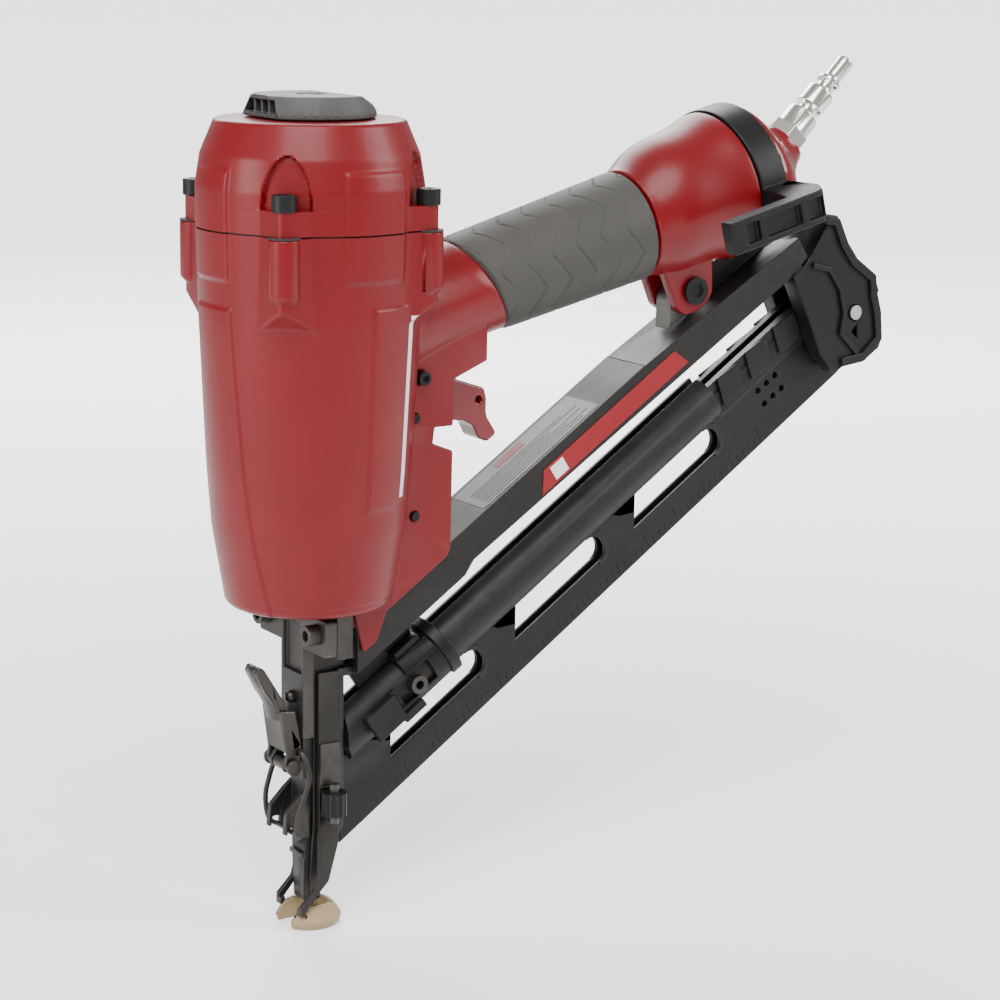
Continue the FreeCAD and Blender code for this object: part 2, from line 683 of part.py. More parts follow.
def rim_gasket():
    back = HANDLE_END - RIM_GASKET_T
    wide = loft([hoop(back, BELL_LIFT, SPIGOT_R - 0.4), hoop(HANDLE_END, BELL_LIFT, SPIGOT_R - 0.4)])
    inner = SPIGOT_R - WALL
    return on_handle(
        wide.cut(loft([hoop(back - 1, BELL_LIFT, inner), hoop(HANDLE_END + 1, BELL_LIFT, inner)]))
    )


def belt_hook():
    """Ring round the handle end with an arm and a belt bar along the near side."""
    low = HANDLE_END + SIDE
    high = low + RING_W
    free = low - 34.5
    bar_in = -RING_R - 17.0
    bar_out = bar_in - 6.4
    band = loft([hoop(low, BELL_LIFT, RING_R), hoop(high, BELL_LIFT, RING_R)])
    bore = loft([hoop(low - 1, BELL_LIFT, SPIGOT_R + RUN), hoop(high + 1, BELL_LIFT, SPIGOT_R + RUN)])
    arm = outline([
        (low, -24), (low, -33, 3.0), (low - 3.5, bar_in), (free, bar_in, 1.0), (free, bar_out, 1.0),
        (high - 3, bar_out, 3.0), (high + 1.6, bar_in + 1.0, 3.0), (high, -24),
    ], lambda a, b: V(a, b, -8.4)).extrude(V(0, 0, 12.0))
    lightening = ((6.8, 12.8), (16.1, 32.3), (35.5, 43))
    pockets = [box(free + a, free + b, bar_out - 1, bar_out + 2.2, -6.0, 1.2) for a, b in lightening]
    core = loft([hoop(low - 1, BELL_LIFT, SPIGOT_R + 2.0), hoop(high + 1, BELL_LIFT, SPIGOT_R + 2.0)])
    return on_handle(band.fuse(arm.cut(pockets).cut(core)).cut(bore))


def air_plug():
    """Quick-connect plug: hexagon, shoulder, groove and nose; it swivels in the cap."""
    start = PLUG_START + SIDE
    slope = math.radians(PLUG_ANGLE)
    corners = [
        (8.1 * math.cos(math.radians(60 * i)), 8.1 * math.sin(math.radians(60 * i))) for i in range(6)
    ]
    hexagon = plan(corners, start, start + 5.5)
    turnings = turned([
        (PLUG_BORE_R - RUN, start - 12), (PLUG_BORE_R - RUN, start + 5.5), (6.5, start + 5.5),
        (6.5, start + 14.0, 0.8),
        (3.6, start + 15.0), (3.6, start + 17.0), (5.6, start + 18.0, 0.5), (5.6, start + 26.0, 1.2),
        (3.3, start + 27.5),
        (3.3, start + 29.5), (4.6, start + 30.5, 0.4), (4.6, start + 32.0, 0.4), (3.3, start + 33.0),
        (3.5, start + PLUG_L, 0.8),
        (2.0, start + PLUG_L), (2.0, start - 12),
    ])
    plug = turnings.fuse(hexagon.cut(upright(0, 0, 2.0, start - 1, start + 7)))
    way = V(math.cos(slope), 0, math.sin(slope))
    plug.Placement = FreeCAD.Placement(
        V(HANDLE_END + PLUG_BASE, 0, BELL_LIFT), FreeCAD.Rotation(V(0, 0, 1), way),
    )
    return on_handle(plug)


# ---- magazine ---------------------------------------------------------------
def magazine_rail():
    """Fixed upper rail that guides the nail heads, with the web under the bell."""
    low = RAIL_LOW
    rail = prism([
        (26, low - 2.4),
        (111, low - 2.4),
        (117, low),
        (MAG_END, low - 3.0),
        (MAG_END + 10, low - 1.0),
        (MAG_END + 10, RAIL_TOP - 4),
        (MAG_END - CREASE_BACK, RAIL_TOP - 0.2),
        (MAG_END - CREASE_BACK, RAIL_TOP),
        (26, RAIL_TOP),
    ], -RAIL_HALF, RAIL_HALF)
    foot, crest = RAIL_TOP - 6, RAIL_TOP + 9
    web = prism(
        [(MAG_END - 35, foot), (MAG_END + 10, foot), (MAG_END + 4, crest), (MAG_END - 26, crest)],
        0.5, 4.5,
    )
    slot = box(20, MAG_END + 20, -NAIL_SLOT, NAIL_SLOT, 60, low + 1.5)
    heads = box(20, MAG_END + 20, -HEAD_SLOT, HEAD_SLOT, low - 0.2, low + 3.0)
    inner, outer = 4.6, RAIL_HALF - 2.4
    halves = ((-outer, -inner), (inner, outer))
    hollow = [box(60, MAG_END - 78, y0, y1, low - 7, RAIL_TOP - 3) for y0, y1 in halves]
    rail = on_magazine(rail.fuse(web).cut([slot, heads]).cut(hollow))
    nose_room = box(-60, TIE_X[1] + SIDE, -20, 20, 40, 140)
    ring_room = on_handle(loft([
        hoop(HANDLE_END - 15, BELL_LIFT, RING_R + 1.0), hoop(HANDLE_END + 60, BELL_LIFT, RING_R + 1.0),
    ]))
    return rail.cut([nose_room, ring_room])


def windows():
    """Long sight windows through the lower blade; their front ends stand upright."""
    cuts = []
    middle = WINDOW_W / 2
    lean = WINDOW_W * math.tan(math.radians(MAG_ANGLE))
    for i in range(3):
        s = WINDOW_START + i * WINDOW_PITCH
        cuts.append(prism([
            (s, WINDOW_N - middle), (s + WINDOW_L, WINDOW_N - middle, middle - 0.05),
            (s + WINDOW_L, WINDOW_N + middle, middle - 0.05), (s + lean, WINDOW_N + middle),
        ], -BLADE_HALF - 5, BLADE_HALF + 5))
    return cuts


def magazine_track():
    """Lower extrusion: thin blade with sight windows, round track above it, nail slot through both."""
    blade = prism([
        (12.5, BLADE_LOW), (MAG_END + 6, BLADE_LOW, 2.0), (MAG_END + 6, 36), (30, 36), (30, 24),
    ], -BLADE_HALF, BLADE_HALF)
    round_track = rod((40, 0, TRACK_N), (TRACK_END, 0, TRACK_N), TRACK_R)
    tail = box(TRACK_END - 1, MAG_END + 2, -TAIL_HALF, TAIL_HALF, 33, 47)
    first = MAG_END - VENT_BACK
    vents = [across(first + i * VENT_PITCH, n, VENT_R, -8, 8) for i in range(3) for n in (28.9, 22.5)]
    slot = box(0, MAG_END + 10, -NAIL_SLOT, NAIL_SLOT, BLADE_LOW + 1.6, 60)
    track = blade.fuse([round_track, tail]).cut([slot] + vents + windows())
    bores = [rod((30, y, TRACK_N), (MAG_END - 2, y, TRACK_N), 1.3) for y in (-5.6, 5.6)]
    return on_magazine(track.cut(bores)).cut(box(-30, 10.5, -20, 20, -10, 90))


def rear_bracket():
    """Moulded end piece that ties the lower track to the rail."""
    end = MAG_END
    side = [
        (end + 23.4, 74.5), (end + 29.7, 69.0), (end + 28.3, 56.1), (end + 26.2, 55.5),
        (end + 27.6, 47.4), (end + 32.9, 36.9), (end + 31.8, 31.1, 1.0), (end + 27.6, 29.0),
        (end + 29.2, 26.1), (end + 23.1, 13.7), (end + 20.2, 11.6), (end + 10.8, 11.8, 2.0),
        (end + 1.5, 16.7), (end - 2.9, 17.0), (end - 5.2, 27.6), (end - 2.6, 43.9),
        (end - 0.5, 62.4), (end + 8.6, 62.8), (end + 24.3, 69.3),
    ]
    half = RAIL_HALF + 1.0
    block = prism(side, -half, half)
    rails = box(end - 138, end + 10.02, -RAIL_HALF - 0.02, RAIL_HALF + 0.02, RAIL_LOW - 5, RAIL_LOW + 35)
    track = box(end - 138, end + 6.02, -TAIL_HALF - 0.02, TAIL_HALF + 0.02, 0, RAIL_LOW - 5)
    inner = prism([
        (end + 7.1, 56.6), (end + 17.9, 49.4), (end + 23.7, 34.6), (end + 15.5, 20.8),
        (end + 2.3, 26.2), (end + 1.8, 43.4),
    ], -half + 1.6, half - 1.6)
    hole = across(end + 17.1, 31.7, 3.0, -20, 20)
    notch = prism([
        (end + 12.2, 25.9), (end + 15.8, 26.6), (end + 13.1, 22.0),
    ], -20, 20)
    return on_magazine(block.cut([rails, track, inner, hole, notch]))


def magazine_bracket():
    """Metal lug on the rail that stands between the ears."""
    half = EAR_IN - 0.4
    side = [
        (151.0, 190.5), (151.2, 207.5, 5.0), (158.6, 216.4, 5.0), (166.2, 210.0, 4.0), (164.4, 201.0),
        (166.4, 198.0),
    ]
    lug = prism(side, -half, half).cut(across(BOLT[0], BOLT[1], BOLT_R, -20, 20))
    return lug.cut(on_magazine(box(150, MAG_END + 10, -20, 20, 55, RAIL_TOP)))


def bracket_bolt():
    return socket_screw((BOLT[0], -EAR_OUT, BOLT[1]), (0, 1, 0), EAR_OUT * 2, BOLT_R - 0.02, 5.2, 1.8)


def pusher():
    """Sliding collar on the round track, with the tongue that follows the nails."""
    s = PUSHER_S
    inner = TRACK_R + SIDE
    collar = rod((s, 0, TRACK_N), (s + 4.5, 0, TRACK_N), TRACK_R + 3.6)
    sleeve = rod((s - 26, 0, TRACK_N), (s + 1, 0, TRACK_N), TRACK_R + 2.0)
    body = collar.fuse(sleeve).cut(rod((s - 40, 0, TRACK_N), (s + 10, 0, TRACK_N), inner))
    cuts = [
        box(s - 40, s + 10, -20, 20, 0, 34.5),
        box(s - 22, s - 6, -20, 0, TRACK_N - 4, TRACK_N + 4.5),
        box(s - 40, s - 15, -20, 20, TRACK_N + 4.5, 60),
    ]
    body = body.cut(cuts)
    tongue_half = NAIL_SLOT - SIDE
    tongue = box(s - 30, s - 2, -tongue_half, tongue_half, WINDOW_N + WINDOW_W / 2 + 1.0, 58)
    bridge = box(s - 14, s - 2, -6.0, 6.0, TRACK_N + inner, TRACK_N + inner + 2.6)
    return on_magazine(body.fuse([tongue, bridge]))


def pusher_latch():
    """Release block on the near side of the pusher, with its finger plate."""
    s = PUSHER_S
    y = -TRACK_R - 2.2
    block = box(s - 38, s - 24.5, y - 2.6, -TRACK_R - SIDE, TRACK_N - 6, TRACK_N + 5)
    ledge = box(s - 26, s - 16, y - 2.6, y + 0.6, TRACK_N - 7.5, TRACK_N - 4.4)
    return on_magazine(
        block.fuse(ledge).cut(rod((s - 40, 0, TRACK_N), (s + 10, 0, TRACK_N), TRACK_R + 2.0))
    )


def pusher_spring():
    """Roll of flat spring steel carried behind the pusher's collar."""
    s = PUSHER_S - 14
    n = TRACK_N
    roll = rod((s, -TRACK_R - 3.6, n), (s, -TRACK_R - SIDE, n), 3.4)
    return on_magazine(roll.cut(rod((s, -20, n), (s, 0, n), 1.6)))


# ---- nose -------------------------------------------------------------------
def nose_body():
    """Steel guide for the driver, with the flange that bolts under the body."""
    flange = box(NOSE_FRONT_X, FLANGE_BACK_X, -FLANGE_HALF, FLANGE_HALF, FLANGE_LOW_Z, BODY_BOTTOM_Z)
    guide = section([
        (-NOSE_HALF, BODY_BOTTOM_Z), (-NOSE_HALF, 30), (-5.6, 17), (-3.6, 0, 0.8), (3.6, 0, 0.8), (5.6, 17),
        (NOSE_HALF, 30), (NOSE_HALF, BODY_BOTTOM_Z),
    ], NOSE_FRONT_X, 9.8)
    toe = prism([(2.2, -1), (2.2, 4), (3.2, 8.3), (7.4, 22.6), (10, 27), (12, 27), (12, -1)], -20, 20)
    spigot = box(-5.8, 5.8, -5.8, 5.8, BODY_BOTTOM_Z - 0.5, FLOOR_Z)
    wide = BLADE_W / 2 + CHANNEL_CLEAR
    thick = BLADE_T / 2 + CHANNEL_CLEAR
    channel = box(-thick, thick, -wide, wide, -1, FLOOR_Z + 1)
    feed = on_magazine(box(-5, 40, -NAIL_SLOT, NAIL_SLOT, 11.6, 62.6))
    screws = [rod((NOSE_FRONT_X - 1, y, NOSE_SCREW_Z), (FLANGE_BACK_X + 1, y, NOSE_SCREW_Z), NOSE_SCREW_R)
              for y in (-NOSE_SCREW_Y, NOSE_SCREW_Y)]
    return flange.fuse([guide, spigot]).cut([toe, channel, feed] + screws)


def nose_cover():
    """T-shaped front casting with the latch lugs."""
    front = section([
        (-FLANGE_HALF, 108, 1.5), (-FLANGE_HALF, 95, 1.5), (-8.1, 95), (-8.1, 62), (8.1, 62), (8.1, 95),
        (FLANGE_HALF, 95, 1.5), (FLANGE_HALF, 108, 1.5),
    ], COVER_FRONT_X, NOSE_FRONT_X)
    recess = box(COVER_FRONT_X - 1, COVER_FRONT_X + 1.6, -6.3, 6.3, 85.5, 104)
    lug = [
        (COVER_FRONT_X - 0.5, 68), (LATCH[0] - 0.3, LATCH[1] + 4.2), (LATCH[0] - 3.0, LATCH[1] + 0.8, 1.5),
        (LATCH[0] - 2.2, LATCH[1] - 2.4, 1.5), (LATCH[0] + 1.6, LATCH[1] - 2.6, 1.5),
        (COVER_FRONT_X + 1.4, 62.5),
        (COVER_FRONT_X + 2.0, 68),
    ]
    lugs = [prism(lug, *sorted((side * (LUG_OUT - 1.8), side * LUG_OUT))) for side in (-1, 1)]
    holes = [
        rod((-20, y, NOSE_SCREW_Z), (0, y, NOSE_SCREW_Z), NOSE_SCREW_R) for y in (-NOSE_SCREW_Y, NOSE_SCREW_Y)
    ]
    pin_hole = across(LATCH[0], LATCH[1], LATCH_PIN_R, -20, 20)
    cover = front.cut(recess).fuse(lugs)
    return cover.cut(holes).cut([pin_hole, rod((-20, 0, 76), (0, 0, 76), 1.2)])


def nose_screws():
    return Part.makeCompound([
        socket_screw((COVER_FRONT_X, y, NOSE_SCREW_Z), (1, 0, 0), 13.0, NOSE_SCREW_R, NOSE_HEAD_R, 4.6)
        for y in (-NOSE_SCREW_Y, NOSE_SCREW_Y)
    ])


def stop_pin():
    """Round-headed pin low on the front casting."""
    head = Part.makeSphere(2.2, V(COVER_FRONT_X - 0.6, 0, 76))
    head = head.cut(box(COVER_FRONT_X, 5, -5, 5, 70, 82))
    return head.fuse(rod((COVER_FRONT_X - 0.1, 0, 76), (NOSE_FRONT_X, 0, 76), 1.2))


def jam_door():
    """Long channel plate that closes the front of the nail channel, with two hooks for the wire."""
    plate = section([
        (-6.2, 61.6), (-6.2, 46), (-4.6, 16.5), (-3.6, 0.6), (3.6, 0.6), (4.6, 16.5), (6.2, 46),
        (6.2, 61.6),
    ], -4.6, NOSE_FRONT_X)
    x, z = HOOK_BAR
    hook = [
        (-4.0, 44.0), (-7.6, 41.0, 2.0), (x - 1.9, z + 6.5, 2.5), (x - 2.7, z - 1.4), (x - 1.4, z - 1.6),
        (x - 1.4, z + 2.0, 1.2), (x + 2.1, z + 2.0, 1.2), (x + 2.1, z - 3.0), (-4.0, z - 4.0),
    ]
    door = plate
    for side in (-1, 1):
        door = door.fuse(prism(hook, *sorted((side * 4.7, side * 6.9))))
    rib = [(4.6, 61.6), (6.2, 61.6), (6.2, 47.0), (4.6, 47.0)]
    for side in (-1, 1):
        door = door.fuse(section([(side * a, b) for a, b in rib], -6.4, -4.5))
    return door.fuse(box(-6.0, -4.5, -4.4, 4.4, 17.0, 18.8))


def latch_pin():
    """Cross pin of the latch, with a roller and two round heads."""
    x, z = LATCH
    pin = across(x, z, LATCH_PIN_R - RUN, -LEVER_HALF - 2.0, LEVER_HALF + 2.0)
    heads = [
        across(x, z, 2.9, *sorted((side * (LEVER_HALF + 0.5), side * (LEVER_HALF + 2.0)))) for side in (-1, 1)
    ]
    roller = across(x, z, ROLLER_R, -LUG_OUT + 1.8 + SIDE, LUG_OUT - 1.8 - SIDE)
    return pin.fuse(heads + [roller])


def latch_lever():
    """Over-centre lever: channel astride the cover's lugs, bent thumb piece at the top."""
    x, z = LATCH
    inner = LEVER_HALF - LEVER_WALL
    side = [
        (x - 2.9, z, 2.0), (x - 0.6, z - 2.9, 2.0), (x + 2.8, z - 2.4, 2.0), (x + 4.3, z + 4.2, 1.2),
        (x + 3.8, 60.4, 1.2),
        (x + 1.4, 72.4, 1.0), (x - 4.6, 73.4, 1.0), (x - 2.3, 57.0),
    ]
    shell = prism(side, -LEVER_HALF, LEVER_HALF)
    inside = prism(
        [(x - 6, z - 6), (x + 8, z - 6), (x + 8, 80), (x - 3.2, 80), (x - 1.0, 57.6), (x - 6, z + 4.8)],
        -inner, inner,
    )
    tab = prism([
        (x - 4.1, 70.5), (x - 4.6, 72.6), (x - 9.3, 80), (x - 12.8, 87), (x - 11.6, 89.4, 0.8),
        (x - 9.6, 88.6), (x - 5.5, 82),
        (x - 1.5, 75.5), (x - 1.0, 72), (x - 2.0, 70.5),
    ], -4.6, 4.6)
    lever = shell.cut(inside).fuse(tab)
    return lever.cut([across(x, z, LATCH_PIN_R, -20, 20), across(BAIL[0], BAIL[1], WIRE_R + RUN, -20, 20)])


def latch_bail():
    """Bent wire that reaches from the lever down to the door's hooks."""
    def side(sign):
        return [
            (BAIL[0], sign * (LUG_OUT + 0.32), BAIL[1]), (BAIL[0], sign * 9.6, BAIL[1]),
            (-7.2, sign * 12.4, 50.0),
            (-9.0, sign * 12.8, 44.0), (HOOK_BAR[0], sign * 12.0, 36.5),
            (HOOK_BAR[0], sign * 9.4, HOOK_BAR[1]),
        ]
    return along_points(side(-1) + side(1)[::-1], WIRE_R)


# ---- work contact -----------------------------------------------------------
def contact_fork():
    """Safety element: bars beside the nose, legs round its tip and two prongs that hold the pad."""
    gap = NOSE_HALF + SIDE
    outer = gap + 2.0
    leg_top = TIE_Z[1] - 0.6
    leg = [
        (-1.6, leg_top), (6.4, leg_top), (6.4, 30), (6.6, 22.6), (2.6, 8.3, 4.0), (-2.4, 3.4, 2.0),
        (-6.6, -1.4), (-8.7, -1.4),
        (-8.7, 0.4), (-3.0, 6.0, 3.0), (-1.6, 11.0, 3.0),
    ]
    legs = [prism(leg, *sorted((sign * gap, sign * outer))) for sign in (-1, 1)]
    tie = box(*TIE_X, -outer, outer, *TIE_Z)
    arms = [box(6.0, TIE_X[1], *sorted((sign * gap, sign * outer)), *TIE_Z) for sign in (-1, 1)]
    wheel_room = upright(WHEEL[0], WHEEL[1], WHEEL_R + SIDE, WHEEL_Z - SIDE, WHEEL_Z + WHEEL_H + SIDE)
    feet = [
        box(-8.7, -6.6, *sorted((sign * (gap - 1.6), sign * outer)), PAD_TOP_Z - 2.2, -0.6)
        for sign in (-1, 1)
    ]
    lug = box(-1.6, 6.4, -gap - 3.2, -gap - 1.0, WHEEL_Z + WHEEL_H + 2.0, 60)
    return legs[0].fuse(legs[1:] + feet + [lug, tie] + arms).cut(wheel_room)


def no_mar_pad():
    """Soft oval pad with a slot for the nose."""
    disc = turned([
        (0, PAD_LOW_Z), (PAD_R - 1.0, PAD_LOW_Z, 1.0), (PAD_R, PAD_LOW_Z + 2.6, 1.5),
        (PAD_R - 3.5, PAD_TOP_Z, 3.0), (0, PAD_TOP_Z),
    ])
    disc.translate(V(-0.5, 0, 0))
    slot = box(-14, 5.4, -PAD_SLOT_HALF, PAD_SLOT_HALF, PAD_LOW_Z - 1, PAD_TOP_Z + 1)
    inner = NOSE_HALF + SIDE - 1.62
    feet = [
        box(-8.72, -6.58, *sorted((sign * inner, sign * (inner + 3.64))), PAD_TOP_Z - 2.22, 2)
        for sign in (-1, 1)
    ]
    return disc.cut([slot] + feet)


def depth_wheel():
    """Knurled wheel on the contact's adjusting screw."""
    x, y = WHEEL
    wheel = upright(x, y, WHEEL_R, WHEEL_Z, WHEEL_Z + WHEEL_H)
    grooves = []
    for i in range(12):
        angle = math.radians(30 * i)
        gx, gy = x + WHEEL_R * math.cos(angle), y + WHEEL_R * math.sin(angle)
        grooves.append(upright(gx, gy, 0.45, WHEEL_Z - 1, WHEEL_Z + WHEEL_H + 1))
    return wheel.cut(grooves + [upright(x, y, POST_R + RUN, WHEEL_Z - 1, WHEEL_Z + WHEEL_H + 1)])


def depth_post():
    x, y = WHEEL
    return upright(x, y, POST_R, WHEEL_Z - 3.0, WHEEL_Z + WHEEL_H + 3.0)


NODES = {
    "main_housing": main_housing,
    "cylinder_cap": cylinder_cap,
    "cap_gasket": cap_gasket,
    "cap_screws": cap_screws,
    "exhaust_deflector": exhaust_deflector,
    "deflector_screw": deflector_screw,
    "cylinder_sleeve": cylinder_sleeve,
    "sleeve_seal": sleeve_seal,
    "piston_bumper": piston_bumper,
    "piston": piston,
    "piston_ring": piston_ring,
    "driver_blade": driver_blade,
    "head_valve": head_valve,
    "head_valve_seal": head_valve_seal,
    "head_valve_spring": head_valve_spring,
    "trigger": trigger,
    "trigger_lever": trigger_lever,
    "lever_pin": lever_pin,
    "trigger_pivot_pin": trigger_pivot_pin,
    "rail_pins": rail_pins,
    "trigger_valve_body": trigger_valve_body,
    "trigger_valve_stem": trigger_valve_stem,
    "handle_grip": handle_grip,
    "end_cap": end_cap,
    "rim_gasket": rim_gasket,
    "belt_hook": belt_hook,
    "air_plug": air_plug,
    "magazine_rail": magazine_rail,
    "magazine_track": magazine_track,
    "rear_bracket": rear_bracket,
    "magazine_bracket": magazine_bracket,
    "bracket_bolt": bracket_bolt,
    "pusher": pusher,
    "pusher_latch": pusher_latch,
    "pusher_spring": pusher_spring,
    "nose_body": nose_body,
    "nose_cover": nose_cover,
    "nose_screws": nose_screws,
    "stop_pin": stop_pin,
    "jam_door": jam_door,
    "latch_pin": latch_pin,
    "latch_lever": latch_lever,
    "latch_bail": latch_bail,
    "contact_fork": contact_fork,
    "no_mar_pad": no_mar_pad,
    "depth_wheel": depth_wheel,
    "depth_post": depth_post,
}

for node_name, make in NODES.items():
    save(node_name, make())
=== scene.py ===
import json
import math

import bmesh
import bpy
import numpy as np
from mathutils import Matrix, Vector

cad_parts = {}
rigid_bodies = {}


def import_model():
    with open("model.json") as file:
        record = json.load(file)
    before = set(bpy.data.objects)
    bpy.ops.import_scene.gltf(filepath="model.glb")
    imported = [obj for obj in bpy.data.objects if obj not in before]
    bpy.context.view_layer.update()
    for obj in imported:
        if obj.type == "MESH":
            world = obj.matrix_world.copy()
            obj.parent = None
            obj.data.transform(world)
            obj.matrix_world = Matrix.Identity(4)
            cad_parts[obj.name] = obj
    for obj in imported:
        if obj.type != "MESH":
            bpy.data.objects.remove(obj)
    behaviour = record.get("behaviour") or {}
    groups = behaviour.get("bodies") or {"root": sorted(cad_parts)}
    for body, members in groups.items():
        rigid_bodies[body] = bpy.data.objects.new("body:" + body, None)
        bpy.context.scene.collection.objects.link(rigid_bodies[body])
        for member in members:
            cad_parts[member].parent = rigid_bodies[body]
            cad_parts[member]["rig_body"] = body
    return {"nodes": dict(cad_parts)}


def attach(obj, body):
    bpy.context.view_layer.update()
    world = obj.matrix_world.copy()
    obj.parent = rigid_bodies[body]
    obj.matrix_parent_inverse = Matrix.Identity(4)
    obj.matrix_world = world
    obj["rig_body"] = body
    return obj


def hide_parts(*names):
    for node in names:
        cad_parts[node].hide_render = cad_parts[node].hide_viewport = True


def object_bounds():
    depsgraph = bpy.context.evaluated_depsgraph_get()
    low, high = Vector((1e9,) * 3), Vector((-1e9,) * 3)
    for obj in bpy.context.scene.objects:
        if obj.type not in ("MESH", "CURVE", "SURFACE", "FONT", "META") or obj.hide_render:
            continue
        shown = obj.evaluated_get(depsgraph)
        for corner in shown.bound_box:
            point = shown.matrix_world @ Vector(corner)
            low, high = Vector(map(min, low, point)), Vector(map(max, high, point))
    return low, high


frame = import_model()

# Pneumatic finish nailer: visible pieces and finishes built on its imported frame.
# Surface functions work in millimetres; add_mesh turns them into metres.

bl_info = {
    "name": "Pneumatic nail gun",
    "version": (1, 0, 0),
    "blender": (4, 5, 0),
    "location": "3D View > Sidebar > Nail gun",
    "description": "Builds the visible pieces, finishes, floor, lights and camera of an angled finish nailer",
    "category": "Add Mesh",
}

CAD_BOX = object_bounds()
NODES = frame["nodes"]
MM = 0.001
MAG_ANGLE = math.radians(34.0)
HANDLE_ANGLE = math.radians(14.3)
HANDLE_Z = 200.1
SEAM_Z = 241.0
RAIL_TOP = 77.0
TRACK_FACE = 3.0
BLADE_TICK_FROM, BLADE_TICK_TO, BLADE_TICK_PITCH = 40.0, 250.0, 3.2
WINDOW_FIRST_END, WINDOW_PITCH, WINDOW_MIDDLE, WINDOW_ROUND = 103.5, 64.5, 27.2, 5.5
GRIP_END = 136.9
FLOOR_HALF = 8.0


# ---- settings -----------------------------------------------------------------
def length(name, description, default, **limits):
    """A length setting in metres."""
    return bpy.props.FloatProperty(
        name=name, description=description, default=default, unit="LENGTH", **limits)


def colour(name, description, default):
    """A colour setting."""
    return bpy.props.FloatVectorProperty(
        name=name, description=description, default=default, size=3, min=0.0, max=1.0, subtype="COLOR")


class NailerSizes(bpy.types.PropertyGroup):
    """Sizes of the surface detail that is added to the frame."""
    seam_gap: length("Seam gap", "Dark gap between cap and body", 0.0006, min=0.0001, max=0.002)
    panel_step: length(
        "Panel step", "How far the raised panels of the body stand out", 0.0008, min=0.0, max=0.002)
    boss_corner: length(
        "Boss corner", "Distance of a screw boss's corner from the drive axis", 0.0466, min=0.04, max=0.05)
    pocket_depth: length(
        "Screw pocket depth", "Depth of the arched pocket over each cap screw", 0.0022, min=0.0, max=0.004)
    groove_depth: length(
        "Grip groove depth", "Depth of the wavy grooves in the grip", 0.00055, min=0.0, max=0.001)
    groove_pitch: length(
        "Grip groove pitch", "Distance between grooves along the grip", 0.0108, min=0.006, max=0.02)
    edge_round: length(
        "Edge rounding", "Rounding on the edges of machined and moulded parts", 0.0003, min=0.0001, max=0.001)
    tick_height: length(
        "Tick height", "How far the ruler ticks stand out of the blade", 0.00018, min=0.0, max=0.0005)


class NailerColours(bpy.types.PropertyGroup):
    """Colours of the main finishes."""
    housing: colour("Housing red", "Painted casting of body and cap", (0.150, 0.0008, 0.0035))
    inlet: colour("Inlet red", "Glossy inlet cap and trigger", (0.145, 0.0008, 0.003))
    grip: colour("Grip rubber", "Sleeve on the handle", (0.044, 0.0415, 0.037))
    magazine: colour("Magazine black", "Anodised rail and track", (0.0095, 0.0088, 0.0080))
    moulding: colour("Black moulding", "Hook, bracket and pusher", (0.0060, 0.0056, 0.0060))
    deflector: colour("Deflector grey", "Exhaust deflector", (0.055, 0.053, 0.050))
    casting: colour("Nose casting", "Front cover and nose", (0.060, 0.056, 0.052))
    latch: colour("Latch steel", "Lever, wire and pin", (0.060, 0.055, 0.051))
    nickel: colour("Plug nickel", "Quick-connect plug", (0.78, 0.755, 0.70))
    pad: colour("Pad beige", "Soft pad on the work contact", (0.36, 0.26, 0.14))
    band: colour("Band red", "Plain band on the rail", (0.22, 0.002, 0.006))
    stripe: colour("Stripe", "Plain pale stripe on the body", (0.72, 0.71, 0.67))
    floor: colour("Floor", "Plain pale floor", (0.94, 0.94, 0.94))


# ---- meshes -------------------------------------------------------------------
def strip_faces(rows, columns, first=0, wrap=True):
    """Quads of a grid of points in rows; wrap joins the last column to the first."""
    i, j = np.meshgrid(np.arange(rows - 1), np.arange(columns if wrap else columns - 1), indexing="ij")
    k = (j + 1) % columns
    low, high = i * columns, (i + 1) * columns
    quads = np.stack([low + j, low + k, high + k, high + j], axis=-1)
    return (quads.reshape(-1, 4) + first).tolist()


def closed_tube(grid):
    """Points and faces of a tube of closed rows with a point in the middle of each end."""
    rows, columns = grid.shape[:2]
    points = np.concatenate([grid.reshape(-1, 3), grid[0].mean(0)[None], grid[-1].mean(0)[None]])
    faces = strip_faces(rows, columns)
    j = np.arange(columns)
    k = (j + 1) % columns
    start, end = rows * columns, rows * columns + 1
    faces += np.stack([np.full(columns, start), k, j], axis=-1).tolist()
    last = (rows - 1) * columns
    faces += np.stack([np.full(columns, end), last + j, last + k], axis=-1).tolist()
    return points, faces


def block(corners, depth_from, depth_to, lift):
    """Points and faces of a flat outline (a, b) carried from one depth to another.

    lift turns (a, b, depth) into a place.
    """
    corners = np.asarray(corners, float)
    n = len(corners)
    a, b = corners.T
    points = np.concatenate([lift(a, b, np.full(n, d)) for d in (depth_from, depth_to)])
    j = np.arange(n)
    k = (j + 1) % n
    faces = [list(range(n))[::-1], list(range(n, 2 * n))]
    faces += np.stack([j, k, k + n, j + n], axis=-1).tolist()
    return points, faces


def bar(a0, a1, b0, b1, depth_from, depth_to, lift):
    """A block over a rectangle."""
    return block([(a0, b0), (a1, b0), (a1, b1), (a0, b1)], depth_from, depth_to, lift)


